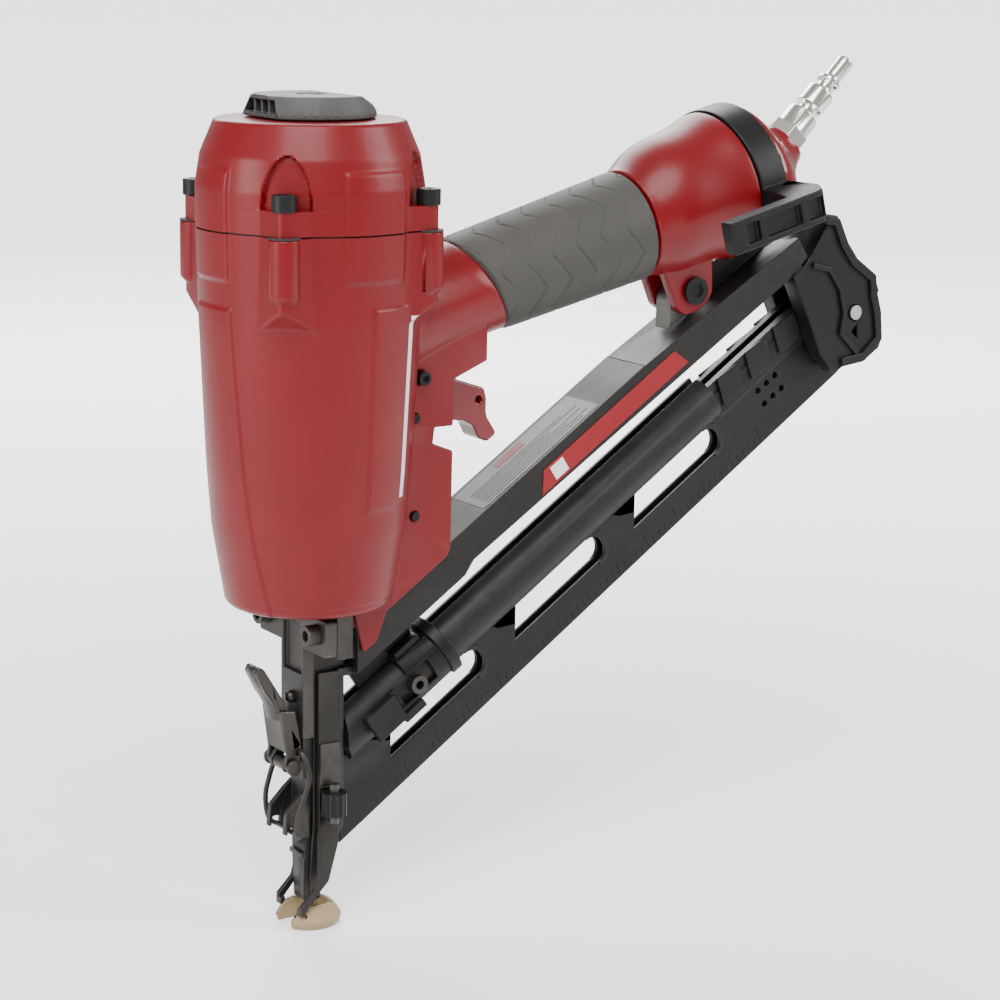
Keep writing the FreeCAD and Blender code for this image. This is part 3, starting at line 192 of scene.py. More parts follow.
def smooth_path(points, per_span=10):
    """Points of a curve through the given points: each span is a cubic set by its four nearest points."""
    p = np.asarray(points, float)
    p = np.concatenate([2 * p[:1] - p[1:2], p, 2 * p[-1:] - p[-2:-1]])
    t = np.linspace(0.0, 1.0, per_span, endpoint=False)[None, :, None]
    a, b, c, d = p[:-3, None], p[1:-2, None], p[2:-1, None], p[3:, None]
    square, cube = 2 * a - 5 * b + 4 * c - d, 3 * b - a - 3 * c + d
    curve = 0.5 * (2 * b + (c - a) * t + square * t ** 2 + cube * t ** 3)
    return np.concatenate([curve.reshape(-1, 3), p[-2:-1]])


def swept(path, wide, thick, side, columns=24):
    """Closed tube along a path with an elliptic section: wide along the side direction, thick across it."""
    along = np.gradient(path, axis=0)
    along /= np.linalg.norm(along, axis=1, keepdims=True)
    side = np.broadcast_to(np.asarray(side, float), path.shape)
    second = np.cross(along, side)
    second /= np.linalg.norm(second, axis=1, keepdims=True)
    first = np.cross(second, along)
    angle = np.linspace(0.0, 2.0 * math.pi, columns, endpoint=False)[None, :, None]
    wide = np.broadcast_to(wide, len(path))[:, None, None]
    thick = np.broadcast_to(thick, len(path))[:, None, None]
    grid = path[:, None] + wide * np.cos(angle) * first[:, None]
    grid = grid + thick * np.sin(angle) * second[:, None]
    return closed_tube(grid)


def strip(line, width, y0, y1):
    """Upright rib of one width along a line of (x, z) points, from y0 to y1."""
    p = np.asarray(line, float)
    way = np.gradient(p, axis=0)
    way /= np.linalg.norm(way, axis=1, keepdims=True)
    out = np.stack([-way[:, 1], way[:, 0]], axis=1) * width / 2
    outline = np.concatenate([p + out, (p - out)[::-1]])
    return block(outline, y0, y1, lambda a, b, d: np.stack([a, d, b], axis=-1))


def magazine_place(s, n, y):
    """Magazine axes (along it, square to it, across) turned into the tool's axes."""
    c, d = math.cos(MAG_ANGLE), math.sin(MAG_ANGLE)
    return np.stack([s * c - n * d, y, s * d + n * c], axis=-1)


def rail_top_place(s, y, n):
    """The same with the height last, for marks on the rail's top."""
    return magazine_place(s, n, y)


def handle_place(u, v, y):
    """Handle axes (along it, square to it, across) turned into the tool's axes."""
    c, d = math.cos(HANDLE_ANGLE), math.sin(HANDLE_ANGLE)
    return np.stack([u * c - v * d, y, HANDLE_Z + u * d + v * c], axis=-1)


def joined(parts):
    """Several (points, faces) pairs as one."""
    points, faces, first = [], [], 0
    for p, f in parts:
        points.append(p)
        faces += [[i + first for i in face] for face in f]
        first += len(p)
    return np.concatenate(points), faces


def add_mesh(name, made, body, finish, smooth=40.0, outward=False):
    """A new piece from (points in millimetres, faces) that rides on a body."""
    points, faces = made
    mesh = bpy.data.meshes.new(name)
    mesh.from_pydata((np.asarray(points) * MM).tolist(), [], faces)
    piece = bpy.data.objects.new(name, mesh)
    bpy.context.scene.collection.objects.link(piece)
    if outward:
        bm = bmesh.new()
        bm.from_mesh(mesh)
        bmesh.ops.recalc_face_normals(bm, faces=bm.faces)
        bm.to_mesh(mesh)
        bm.free()
    mesh.materials.append(finish)
    mesh.shade_smooth()
    mesh.set_sharp_from_angle(angle=math.radians(smooth))
    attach(piece, body)
    return piece


def round_edges(piece, width, angle=32.0):
    """Bevel on the edges that turn by more than an angle."""
    bevel = piece.modifiers.new("edge_round", "BEVEL")
    bevel.width = width
    bevel.segments = 2
    bevel.limit_method = "ANGLE"
    bevel.angle_limit = math.radians(angle)
    bevel.use_clamp_overlap = False
    bevel.loop_slide = False
    bevel.harden_normals = True


def finished_copy(node, name, finish, width=None, angle=32.0):
    """A merged copy of a CAD node with its edges rounded; it stands for the node."""
    source = NODES[node]
    mesh = source.data.copy()
    mesh.name = name
    bm = bmesh.new()
    bm.from_mesh(mesh)
    bmesh.ops.remove_doubles(bm, verts=bm.verts, dist=2e-6)
    bmesh.ops.dissolve_limit(
        bm, angle_limit=math.radians(1.0), verts=bm.verts, edges=bm.edges, delimit={"NORMAL"})
    bmesh.ops.triangulate(bm, faces=[f for f in bm.faces if len(f.verts) > 6])
    bm.to_mesh(mesh)
    bm.free()
    mesh.materials.clear()
    mesh.materials.append(finish)
    mesh.shade_smooth()
    mesh.set_sharp_from_angle(angle=math.radians(angle))
    piece = bpy.data.objects.new(name, mesh)
    bpy.context.scene.collection.objects.link(piece)
    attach(piece, source["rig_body"])
    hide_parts(node)
    if width:
        round_edges(piece, width, angle)
    return piece


# ---- finishes -----------------------------------------------------------------
def new_group(name, inputs, outputs):
    """Empty shader group with named float or colour sockets."""
    tree = bpy.data.node_groups.new(name, "ShaderNodeTree")
    for label, kind, default in inputs:
        socket = tree.interface.new_socket(label, in_out="INPUT", socket_type=kind)
        socket.default_value = default
    for label, kind in outputs:
        tree.interface.new_socket(label, in_out="OUTPUT", socket_type=kind)
    return tree, tree.nodes.new("NodeGroupInput"), tree.nodes.new("NodeGroupOutput")


def math_node(tree, operation, a, b=None, clamp=False):
    """Math node whose inputs are sockets or numbers."""
    node = tree.nodes.new("ShaderNodeMath")
    node.operation = operation
    node.use_clamp = clamp
    for k, value in enumerate((a, b)):
        if value is None:
            continue
        if isinstance(value, (int, float)):
            node.inputs[k].default_value = value
        else:
            tree.links.new(value, node.inputs[k])
    return node.outputs[0]


def noise(tree, scale, detail=2.0, stretch=None):
    """Noise on Object coordinates; scale is a socket or a number, stretch squeezes it along an axis."""
    place = tree.nodes.new("ShaderNodeTexCoord").outputs["Object"]
    if stretch:
        mapping = tree.nodes.new("ShaderNodeMapping")
        mapping.inputs["Rotation"].default_value = stretch[1]
        mapping.inputs["Scale"].default_value = stretch[0]
        tree.links.new(place, mapping.inputs["Vector"])
        place = mapping.outputs[0]
    node = tree.nodes.new("ShaderNodeTexNoise")
    node.inputs["Detail"].default_value = detail
    tree.links.new(place, node.inputs["Vector"])
    if isinstance(scale, (int, float)):
        node.inputs["Scale"].default_value = scale
    else:
        tree.links.new(scale, node.inputs["Scale"])
    return node.outputs["Fac"]


def grain_group():
    """Fine moulded or sprayed texture: a height, and a slow patchiness for colour and roughness."""
    tree, given, out = new_group(
        "fine_grain",
        [("Scale", "NodeSocketFloat", 1500.0), ("Patch Scale", "NodeSocketFloat", 35.0)],
        [("Height", "NodeSocketFloat"), ("Patch", "NodeSocketFloat")])
    fine = noise(tree, given.outputs["Scale"], 3.0)
    patch = noise(tree, given.outputs["Patch Scale"], 4.0)
    tree.links.new(fine, out.inputs["Height"])
    spread = tree.nodes.new("ShaderNodeMapRange")
    spread.inputs["From Min"].default_value = 0.3
    spread.inputs["From Max"].default_value = 0.7
    tree.links.new(patch, spread.inputs["Value"])
    tree.links.new(spread.outputs[0], out.inputs["Patch"])
    return tree


def wear_group():
    """Wear where edges stand out, broken up by noise."""
    tree, given, out = new_group(
        "edge_wear", [("Amount", "NodeSocketFloat", 0.5), ("Break Up", "NodeSocketFloat", 260.0)],
        [("Mask", "NodeSocketFloat")])
    edge = tree.nodes.new("ShaderNodeMapRange")
    edge.inputs["From Min"].default_value = 0.52
    edge.inputs["From Max"].default_value = 0.62
    geometry = tree.nodes.new("ShaderNodeNewGeometry")
    tree.links.new(geometry.outputs["Pointiness"], edge.inputs["Value"])
    broken = math_node(tree, "MULTIPLY", noise(tree, given.outputs["Break Up"], 4.0), 1.5)
    worn = math_node(tree, "MULTIPLY", edge.outputs[0], broken)
    mask = math_node(tree, "MULTIPLY", worn, given.outputs["Amount"], True)
    tree.links.new(mask, out.inputs["Mask"])
    return tree


def dust_group():
    """Light dust that settles on faces that look up."""
    tree, given, out = new_group(
        "settled_dust", [("Amount", "NodeSocketFloat", 0.1)], [("Mask", "NodeSocketFloat")])
    geometry = tree.nodes.new("ShaderNodeNewGeometry")
    split = tree.nodes.new("ShaderNodeSeparateXYZ")
    tree.links.new(geometry.outputs["Normal"], split.inputs[0])
    up = math_node(tree, "MAXIMUM", split.outputs["Z"], 0.0)
    settled = math_node(tree, "MULTIPLY", up, noise(tree, 120.0, 5.0))
    mask = math_node(tree, "MULTIPLY", settled, given.outputs["Amount"], True)
    tree.links.new(mask, out.inputs["Mask"])
    return tree


GROUPS = {}


def group(name):
    """Each shader group is built once."""
    if name not in GROUPS:
        GROUPS[name] = {"grain": grain_group, "wear": wear_group, "dust": dust_group}[name]()
    return GROUPS[name]


def place_group(tree, name, **values):
    """One of the shader groups in a material, with its inputs set."""
    node = tree.nodes.new("ShaderNodeGroup")
    node.node_tree = group(name)
    for label, value in values.items():
        node.inputs[label.replace("_", " ")].default_value = value
    return node


def mix_colour(tree, factor, a, b):
    """Mix of two colours or sockets."""
    node = tree.nodes.new("ShaderNodeMix")
    node.data_type = "RGBA"
    tree.links.new(factor, node.inputs["Factor"])
    for socket, value in ((node.inputs[6], a), (node.inputs[7], b)):
        if isinstance(value, (tuple, list)):
            socket.default_value = (*value[:3], 1.0)
        else:
            tree.links.new(value, socket)
    return node.outputs[2]


def shade(colour_, amount):
    """A colour made lighter or darker."""
    return tuple(max(0.0, min(1.0, c * amount)) for c in colour_)


def make_finish(name, base, rough, metal=0.0, grain=1500.0, bump=0.00002, patch=0.12, worn=None, wear=0.0,
                dust=0.0, coat=0.0, shine=0.35, brushed=None):
    """Procedural finish: grain bump, patchy colour and roughness, worn edges, a little dust.

    rough is (smooth, matte), bump is in metres, patch is how much darker the patches are,
    brushed is (scale, rotation) of a stretched grain for turned, ground or extruded metal.
    """
    material = bpy.data.materials.new(name)
    material.use_nodes = True
    tree = material.node_tree
    shader = tree.nodes["Principled BSDF"]
    texture = place_group(tree, "grain", Scale=grain, Patch_Scale=35.0)
    base = tuple(base)
    light, dark = shade(base, 1.0 + patch * 0.5), shade(base, 1.0 - patch)
    tone = mix_colour(tree, texture.outputs["Patch"], light, dark)
    height = texture.outputs["Height"]
    roughness = tree.nodes.new("ShaderNodeMapRange")
    roughness.inputs["To Min"].default_value = rough[0]
    roughness.inputs["To Max"].default_value = rough[1]
    tree.links.new(texture.outputs["Patch"], roughness.inputs["Value"])
    roughness = roughness.outputs[0]
    if brushed:
        lines = noise(tree, 900.0, 2.0, brushed)
        height = math_node(tree, "ADD", math_node(tree, "MULTIPLY", height, 0.3), lines)
        roughness = math_node(tree, "ADD", roughness, math_node(tree, "MULTIPLY", lines, 0.10), True)
    if wear:
        mask = place_group(tree, "wear", Amount=wear).outputs["Mask"]
        tone = mix_colour(tree, mask, tone, worn or shade(base, 1.8))
    if dust:
        mask = place_group(tree, "dust", Amount=dust).outputs["Mask"]
        tone = mix_colour(tree, mask, tone, (0.55, 0.52, 0.48))
        roughness = math_node(tree, "ADD", roughness, math_node(tree, "MULTIPLY", mask, 0.4), True)
    tree.links.new(tone, shader.inputs["Base Color"])
    tree.links.new(roughness, shader.inputs["Roughness"])
    bumped = tree.nodes.new("ShaderNodeBump")
    bumped.inputs["Distance"].default_value = bump
    tree.links.new(height, bumped.inputs["Height"])
    tree.links.new(bumped.outputs[0], shader.inputs["Normal"])
    shader.inputs["Metallic"].default_value = metal
    shader.inputs["Specular IOR Level"].default_value = shine
    shader.inputs["Coat Weight"].default_value = coat
    shader.inputs["Coat Roughness"].default_value = 0.12
    return material


def make_floor_finish(name, base):
    """Matte pale floor that glows a little more with distance, so that it has no visible far edge."""
    material = make_finish(name, base, (0.75, 0.85), grain=60.0, bump=0.0, patch=0.01)
    tree = material.node_tree
    reach = tree.nodes.new("ShaderNodeVectorMath")
    reach.operation = "LENGTH"
    tree.links.new(tree.nodes.new("ShaderNodeTexCoord").outputs["Object"], reach.inputs[0])
    glow = tree.nodes.new("ShaderNodeMapRange")
    glow.interpolation_type = "SMOOTHSTEP"
    glow.inputs["From Min"].default_value = 0.15
    glow.inputs["From Max"].default_value = 1.6
    glow.inputs["To Min"].default_value = 0.12
    tree.links.new(reach.outputs["Value"], glow.inputs["Value"])
    shader = tree.nodes["Principled BSDF"]
    seen = tree.nodes.new("ShaderNodeMapRange")
    seen.inputs["To Max"].default_value = 2.2
    tree.links.new(tree.nodes.new("ShaderNodeLightPath").outputs["Is Camera Ray"], seen.inputs["Value"])
    tree.links.new(seen.outputs[0], shader.inputs["Emission Strength"])
    tone = mix_colour(tree, glow.outputs[0], (0.0, 0.0, 0.0), (1.0, 1.0, 1.0))
    tree.links.new(tone, shader.inputs["Emission Color"])
    return material


ALONG_MAGAZINE = ((0.03, 1.0, 1.0), (0.0, MAG_ANGLE, 0.0))
ALONG_Z = ((1.0, 1.0, 0.03), (0.0, 0.0, 0.0))
WORN_METAL = (0.16, 0.15, 0.14)
FINISHES = {}


def recipe(name):
    """Settings of a finish; the main colours come from the scene."""
    c = bpy.context.scene.nailer_colours
    return {
        "housing_paint": dict(
            base=c.housing, rough=(0.34, 0.44), grain=900.0, bump=0.00003, patch=0.07,
            worn=shade(tuple(c.housing), 1.35), wear=0.25, coat=0.06, shine=0.3),
        "inlet_gloss": dict(
            base=c.inlet, rough=(0.16, 0.24), grain=600.0, bump=0.00002, patch=0.06, coat=0.4, shine=0.35),
        "grip_rubber": dict(
            base=c.grip, rough=(0.58, 0.72), grain=2600.0, bump=0.00006, patch=0.12, dust=0.05),
        "anodised": dict(
            base=c.magazine, rough=(0.36, 0.48), metal=0.35, grain=2200.0, bump=0.00002, patch=0.15,
            worn=WORN_METAL, wear=0.22, dust=0.05, brushed=ALONG_MAGAZINE),
        "black_moulding": dict(
            base=c.moulding, rough=(0.36, 0.50), grain=1800.0, bump=0.00004, patch=0.15,
            worn=(0.04, 0.04, 0.04), wear=0.25, dust=0.01, shine=0.22),
        "deflector_plastic": dict(
            base=c.deflector, rough=(0.52, 0.62), grain=2000.0, bump=0.00005, patch=0.10, dust=0.05),
        "nose_casting": dict(
            base=c.casting, rough=(0.40, 0.56), metal=0.75, grain=1100.0, bump=0.00009, patch=0.25,
            worn=WORN_METAL, wear=0.5),
        "nose_steel": dict(
            base=shade(tuple(c.casting), 0.62), rough=(0.34, 0.48), metal=0.8, grain=1500.0, bump=0.00005,
            patch=0.25, worn=WORN_METAL, wear=0.45, brushed=ALONG_Z),
        "latch_steel": dict(
            base=c.latch, rough=(0.32, 0.46), metal=0.85, grain=1300.0, bump=0.00005, patch=0.2,
            worn=WORN_METAL, wear=0.5),
        "black_oxide": dict(
            base=(0.012, 0.012, 0.012), rough=(0.34, 0.48), metal=0.6, grain=1700.0, bump=0.00004,
            patch=0.2, worn=(0.10, 0.10, 0.10), wear=0.3),
        "bright_steel": dict(
            base=(0.56, 0.56, 0.57), rough=(0.22, 0.34), metal=1.0, grain=1500.0, bump=0.00002, patch=0.1,
            brushed=ALONG_Z),
        "lug_steel": dict(
            base=(0.17, 0.165, 0.155), rough=(0.36, 0.50), metal=0.8, grain=900.0, bump=0.0001, patch=0.2),
        "nickel": dict(
            base=c.nickel, rough=(0.14, 0.24), metal=1.0, grain=500.0, bump=0.00001, patch=0.06),
        "pad_rubber": dict(
            base=c.pad, rough=(0.42, 0.60), grain=1400.0, bump=0.00006, patch=0.22, dust=0.05),
        "valve_brass": dict(
            base=(0.62, 0.46, 0.20), rough=(0.25, 0.36), metal=1.0, grain=1200.0, patch=0.12),
        "black_rubber": dict(
            base=(0.020, 0.020, 0.021), rough=(0.62, 0.78), grain=1800.0, bump=0.00005, patch=0.1),
        "band_print": dict(
            base=c.band, rough=(0.40, 0.50), grain=1200.0, bump=0.00001, patch=0.06),
        "pale_print": dict(
            base=c.stripe, rough=(0.42, 0.52), grain=1200.0, bump=0.00001, patch=0.05),
        "panel_print": dict(
            base=(0.006, 0.006, 0.006), rough=(0.22, 0.30), grain=1200.0, bump=0.00001, patch=0.1,
            shine=0.3),
        "zinc": dict(
            base=(0.50, 0.50, 0.50), rough=(0.28, 0.40), metal=1.0, grain=900.0, bump=0.00002, patch=0.12),
    }[name]


def finish(name):
    """Finish by name, built when first wanted."""
    if name not in FINISHES:
        FINISHES[name] = make_finish(name, **recipe(name))
    return FINISHES[name]


# ---- body and cap -------------------------------------------------------------
BODY_PROFILE = ((109.8, 28.6), (138.0, 33.3), (159.5, 35.1), (211.0, 37.8), (240.7, 38.7))
CAP_PROFILE = ((241.3, 38.7), (255.0, 38.8), (265.4, 37.1), (277.0, 32.2))
BOSS_ANGLES = [math.degrees(math.atan2(y, x)) for x in (-27.5, 27.5) for y in (-31.2, 31.2)]


def turn_from(theta, centre):
    """Signed angle in degrees from a direction, between -180 and 180."""
    return (theta - centre + 180.0) % 360.0 - 180.0


def ease(x):
    """Smooth step from 0 to 1."""
    x = np.clip(x, 0.0, 1.0)
    return x * x * (3.0 - 2.0 * x)


def raised_panel(theta, z, radius, centre, half, low, high, soft=1.3):
    """1 inside a panel about a direction, falling to 0 over a soft edge, in millimetres along the surface."""
    side = (half - np.abs(turn_from(theta, centre))) * math.pi / 180.0 * radius
    inside = np.minimum(side, np.minimum(z - low, high - z))
    return ease(inside / soft)


def body_radius(theta, z, profile, sizes):
    """Radius of the casting at an angle and height.

    A straight-sided profile, plus raised panels, smooth-joined to four screw bosses. A boss is a right-angled
    corner, radius = corner / (cos + |sin|), cut off below by a face that slopes back into the body.
    """
    base = np.interp(z, [p[0] for p in profile], [p[1] for p in profile])
    step = sizes.panel_step / MM
    front = np.interp(z, [110.0, 133.0, 159.0, 198.0, 216.0], [35.0, 27.5, 22.8, 19.2, 17.8])
    panels = [(180.0, front, 60.0, 216.2), (180.0, 17.0, 224.4, 262.0)]
    for side in (-1, 1):
        panels += [(side * 84.0, 18.5, 224.6, 262.0), (side * 68.0, 19.0, 147.0, 217.0)]
    for centre, half, low, high in panels:
        base = base + step * raised_panel(theta, z, base, centre, half, low, high)
    radius = base
    corner = sizes.boss_corner / MM
    pocket = sizes.pocket_depth / MM
    for centre in BOSS_ANGLES:
        turn = np.radians(turn_from(theta, centre))
        near = np.abs(turn) < math.radians(50)
        cos, sin = np.cos(turn), np.sin(turn)
        wedge = corner / np.maximum(cos + np.sqrt(sin * sin + 0.0012), 0.2)
        slope = (37.6 + (z - 210.5) * 1.2) / np.maximum(cos, 0.2)
        boss = np.where(near & (z <= 249.45), np.minimum(wedge, slope), 0.0)
        blended = 0.5 * (radius + boss + np.sqrt((radius - boss) ** 2 + 0.25)) - 0.05
        radius = np.where(boss > radius - 3.0, blended, radius)
        rise = np.clip((z - 249.4) / 17.5, 0.0, 1.0)
        half = 13.2 * np.sqrt(1.0 - rise ** 2)
        dent = ease((half - np.abs(np.degrees(turn))) * math.pi / 180.0 * 38.0 / 1.1)
        radius = radius - np.where(z > 249.45, pocket * dent, 0.0)
    return radius


def casting_rows(heights, profile, sizes, columns=480):
    """Rows of the casting: x = r cos, y = r sin, z, for every height and angle at once."""
    theta = np.linspace(-180.0, 180.0, columns, endpoint=False)
    t, z = np.meshgrid(theta, heights)
    r = body_radius(t, z, profile, sizes)
    a = np.radians(t)
    return np.stack([r * np.cos(a), r * np.sin(a), z], axis=-1)


def eased_in(grid, drop):
    """Rows that round the first row inwards by a quarter circle of radius drop."""
    low = grid[0]
    angle = np.linspace(0.0, 90.0, 7)[:-1]
    rows = []
    reach = np.linalg.norm(low[:, :2], axis=1, keepdims=True)
    for a in np.radians(angle):
        scale = (reach - drop * (1.0 - math.sin(a))) / reach
        rows.append(np.concatenate([low[:, :2] * scale, low[:, 2:] - drop * math.cos(a)], axis=1))
    return np.concatenate([np.array(rows), grid])


def mark(name, made, look, smooth=30.0, width=None):
    """A piece on the tool's own body with a finish by name."""
    piece = add_mesh(name, made, "tool", finish(look), smooth, True)
    if width:
        round_edges(piece, width)
    return piece


# ---- magazine detail ----------------------------------------------------------
BRACKET_RIM = [(218.0, 233.6), (223.5, 232.6), (228.0, 223.4), (233.5, 216.6), (243.2, 210.0),
               (244.2, 203.0), (246.4, 196.0), (247.6, 186.0), (240.0, 179.2), (229.0, 177.8)]
BRACKET_INNER = [(212.5, 216.5), (221.0, 214.5), (227.0, 206.5), (229.5, 197.0), (228.0, 189.5),
                 (237.0, 181.0)]
RIVET_X, RIVET_Z, RIVET_HALF, RIVET_R = 235.2, 196.9, 14.0, 2.8
BAR_ENDS = (184.0, 188.0, 179.0, 187.0, 172.0, 188.0, 181.0)


def rail_marks():
    """Red band and pale tag on the near side of the rail."""
    band = [(152.5, 65.6), (231.0, 65.6), (228.0, 73.2), (158.0, 73.2)]
    mark("rail_band", block(band, -12.25, -11.9, magazine_place), "band_print")
    tag = bar(160.5, 167.0, 66.6, 72.2, -12.35, -12.1, magazine_place)
    mark("rail_tag", tag, "pale_print")


def blade_ticks(height):
    """Ruler ticks on both faces of the track, every fifth one long."""
    ticks = []
    for i, s in enumerate(np.arange(BLADE_TICK_FROM, BLADE_TICK_TO, BLADE_TICK_PITCH)):
        tall = 4.4 if i % 5 == 0 else 2.2
        for low, high in ((-TRACK_FACE - height, -2.8), (2.8, TRACK_FACE + height)):
            ticks.append(bar(s, s + 0.7, 11.4, 11.4 + tall, low, high, magazine_place))
    mark("blade_ticks", joined(ticks), "black_moulding")


def rail_top_panel():
    """Plain dark panel on the rail's top with a red block and thin bars."""
    top = RAIL_TOP
    panel = bar(131.0, 191.0, -10.3, 9.8, top - 0.2, top + 0.10, rail_top_place)
    mark("rail_panel", panel, "panel_print")
    red = bar(150.0, 164.0, 4.2, 8.2, top - 0.1, top + 0.18, rail_top_place)
    mark("rail_panel_mark", red, "band_print")
    bars = [bar(134.0, end, y, y + 0.55, top - 0.1, top + 0.15, rail_top_place)
            for end, y in zip(BAR_ENDS, np.arange(-8.6, 3.0, 1.7))]
    mark("rail_panel_bars", joined(bars), "deflector_plastic")


def track_guides():
    """Stepped blocks on both sides of the track's tail."""
    guides = []
    for s in (239.0, 255.0, 271.0):
        outline = [(s, 36.5), (s + 12.0, 35.5), (s + 14.5, 46.5), (s + 2.5, 47.5)]
        for low, high in ((-6.2, -4.6), (4.6, 6.2)):
            guides.append(block(outline, low, high, magazine_place))
    mark("rail_guides", joined(guides), "black_moulding", width=0.0006)


def bracket_detail():
    """Raised rim and inner rib on both sides of the rear bracket, and the rivet through it."""
    ribs = [strip(line, width, low, high) for low, high in ((-14.4, -12.6), (12.6, 14.4))
            for line, width in ((BRACKET_RIM, 3.6), (BRACKET_INNER, 2.2))]
    mark("bracket_ribs", joined(ribs), "black_moulding", width=0.0005)
    axis = smooth_path([(RIVET_X, y, RIVET_Z) for y in (-RIVET_HALF, 0.0, RIVET_HALF)], 4)
    rivet = swept(axis, RIVET_R, RIVET_R, (1, 0, 0))
    mark("bracket_rivet", rivet, "zinc", 40.0)


def window_rims():
    """Thin raised half rings round the closed end of each sight window, on both faces."""
    rims = []
    angle = np.radians(np.linspace(-90.0, 90.0, 25))
    cos, sin = np.cos(angle), np.sin(angle)
    reach = WINDOW_ROUND
    for i in range(3):
        centre = WINDOW_FIRST_END + i * WINDOW_PITCH - reach
        outer = np.stack([centre + (reach + 2.2) * cos, WINDOW_MIDDLE + (reach + 1.6) * sin], axis=-1)
        inner = np.stack([centre + (reach + 0.05) * cos, WINDOW_MIDDLE + (reach + 0.05) * sin], axis=-1)
        for low, high in ((-3.5, -2.9), (2.9, 3.5)):
            rims.append(block(np.concatenate([outer, inner[::-1]]), low, high, magazine_place))
    mark("window_rims", joined(rims), "anodised", width=0.00015)


# ---- latch --------------------------------------------------------------------
WIRE_HALF = [(-8.3, 5.52, 57.2), (-8.3, 9.6, 57.2), (-7.2, 12.4, 50.0), (-9.0, 12.8, 44.0),
             (-11.3, 12.0, 36.5), (-11.3, 9.4, 29.0)]
WIRE_R = 0.95
THUMB_SPINE = [(-14.0, 0.0, 69.5), (-15.4, 0.0, 74.0), (-18.4, 0.0, 80.0), (-21.4, 0.0, 85.0),
               (-23.0, 0.0, 89.2)]


def latch_wire():
    """Round wire from the lever's pivot down to its hook, the same on both sides."""
    foot = (WIRE_HALF[-1][0], 0.0, WIRE_HALF[-1][2])
    points = [(x, -y, z) for x, y, z in WIRE_HALF] + [foot] + WIRE_HALF[::-1]
    made = swept(smooth_path(points), WIRE_R, WIRE_R, (1, 0, 0), 16)
    wire = add_mesh("latch_wire", made, "latch_bail", finish("nose_steel"), 60.0, True)
    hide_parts("latch_bail")


def latch_thumb_piece():
    """Finger-shaped tab: an elliptic section along a curve, drawn in to a round tip."""
    spine = smooth_path(THUMB_SPINE, 8)
    t = np.linspace(0.0, 1.0, len(spine))
    tip = np.sqrt(np.clip(1.0 - ((t - 0.86) / 0.145).clip(0.0) ** 2, 0.02, 1.0))
    made = swept(spine, (5.2 - 1.2 * t) * tip, (2.2 - 0.5 * t) * tip, (0, 1, 0), 32)
    add_mesh("latch_thumb_piece", made, "latch_lever", finish("latch_steel"), 60.0, True)


# ---- operators ----------------------------------------------------------------
class NAILER_OT_stage(bpy.types.Operator):
    """Floor, soft lights and the camera"""
    bl_idname = "nailer.stage"
    bl_label = "Stage"

    def execute(self, context):
        scene = context.scene
        low = CAD_BOX[0].z - 0.0002
        mesh = bpy.data.meshes.new("floor")
        square = np.array([(-1, -1, 0), (1, -1, 0), (1, 1, 0), (-1, 1, 0)]) * FLOOR_HALF + (0.0, 0.0, low)
        mesh.from_pydata(square.tolist(), [], [(0, 1, 2, 3)])
        floor = bpy.data.objects.new("floor", mesh)
        mesh.materials.append(make_floor_finish("floor_paper", context.scene.nailer_colours.floor))
        scene.collection.objects.link(floor)
        world = bpy.data.worlds.new("studio") if scene.world is None else scene.world
        scene.world = world
        world.use_nodes = True
        tree = world.node_tree
        tree.nodes["Background"].inputs["Color"].default_value = (1.0, 1.0, 1.0, 1.0)
        bright = tree.nodes.new("ShaderNodeMapRange")
        bright.inputs["To Min"].default_value = 0.45
        bright.inputs["To Max"].default_value = 2.6
        tree.links.new(tree.nodes.new("ShaderNodeLightPath").outputs["Is Camera Ray"], bright.inputs["Value"])
        tree.links.new(bright.outputs[0], tree.nodes["Background"].inputs["Strength"])
        centre = Vector((0.085, 0.0, 0.15))
        for label, place, size, power in (
            ("key_light", (-0.55, -0.75, 1.35), 1.1, 34.0),
            ("side_light", (1.05, -0.75, 0.75), 0.7, 14.0),
            ("rim_light", (0.5, 1.1, 1.0), 1.0, 26.0),
            ("left_light", (-1.25, 0.05, 0.45), 0.6, 10.0),
        ):
            data = bpy.data.lights.new(label, "AREA")
            data.size = size
            data.energy = power
            light = bpy.data.objects.new(label, data)
            light.location = place
            light.rotation_mode = "QUATERNION"
            light.rotation_quaternion = (centre - Vector(place)).to_track_quat("-Z", "Y")
            scene.collection.objects.link(light)
        turn, rise, roll = math.radians(34.11), math.radians(12.48), math.radians(0.98)
        back = Vector((-math.sin(turn) * math.cos(rise), -math.cos(turn) * math.cos(rise), math.sin(rise)))
        right = Vector((math.cos(turn), -math.sin(turn), 0.0))
        up = back.cross(right)
        across = math.cos(roll) * right + math.sin(roll) * up
        upward = -math.sin(roll) * right + math.cos(roll) * up
        data = bpy.data.cameras.new("camera")
        data.sensor_width = 36.0
        data.lens = 92.36
        data.clip_start = 0.05
        data.clip_end = 60.0
        camera = bpy.data.objects.new("camera", data)
        axes = Matrix((across, upward, back)).transposed().to_4x4()
        camera.matrix_world = Matrix.Translation(Vector((-0.4318, -0.7548, 0.3386))) @ axes
        scene.collection.objects.link(camera)
        scene.camera = camera
        return {"FINISHED"}


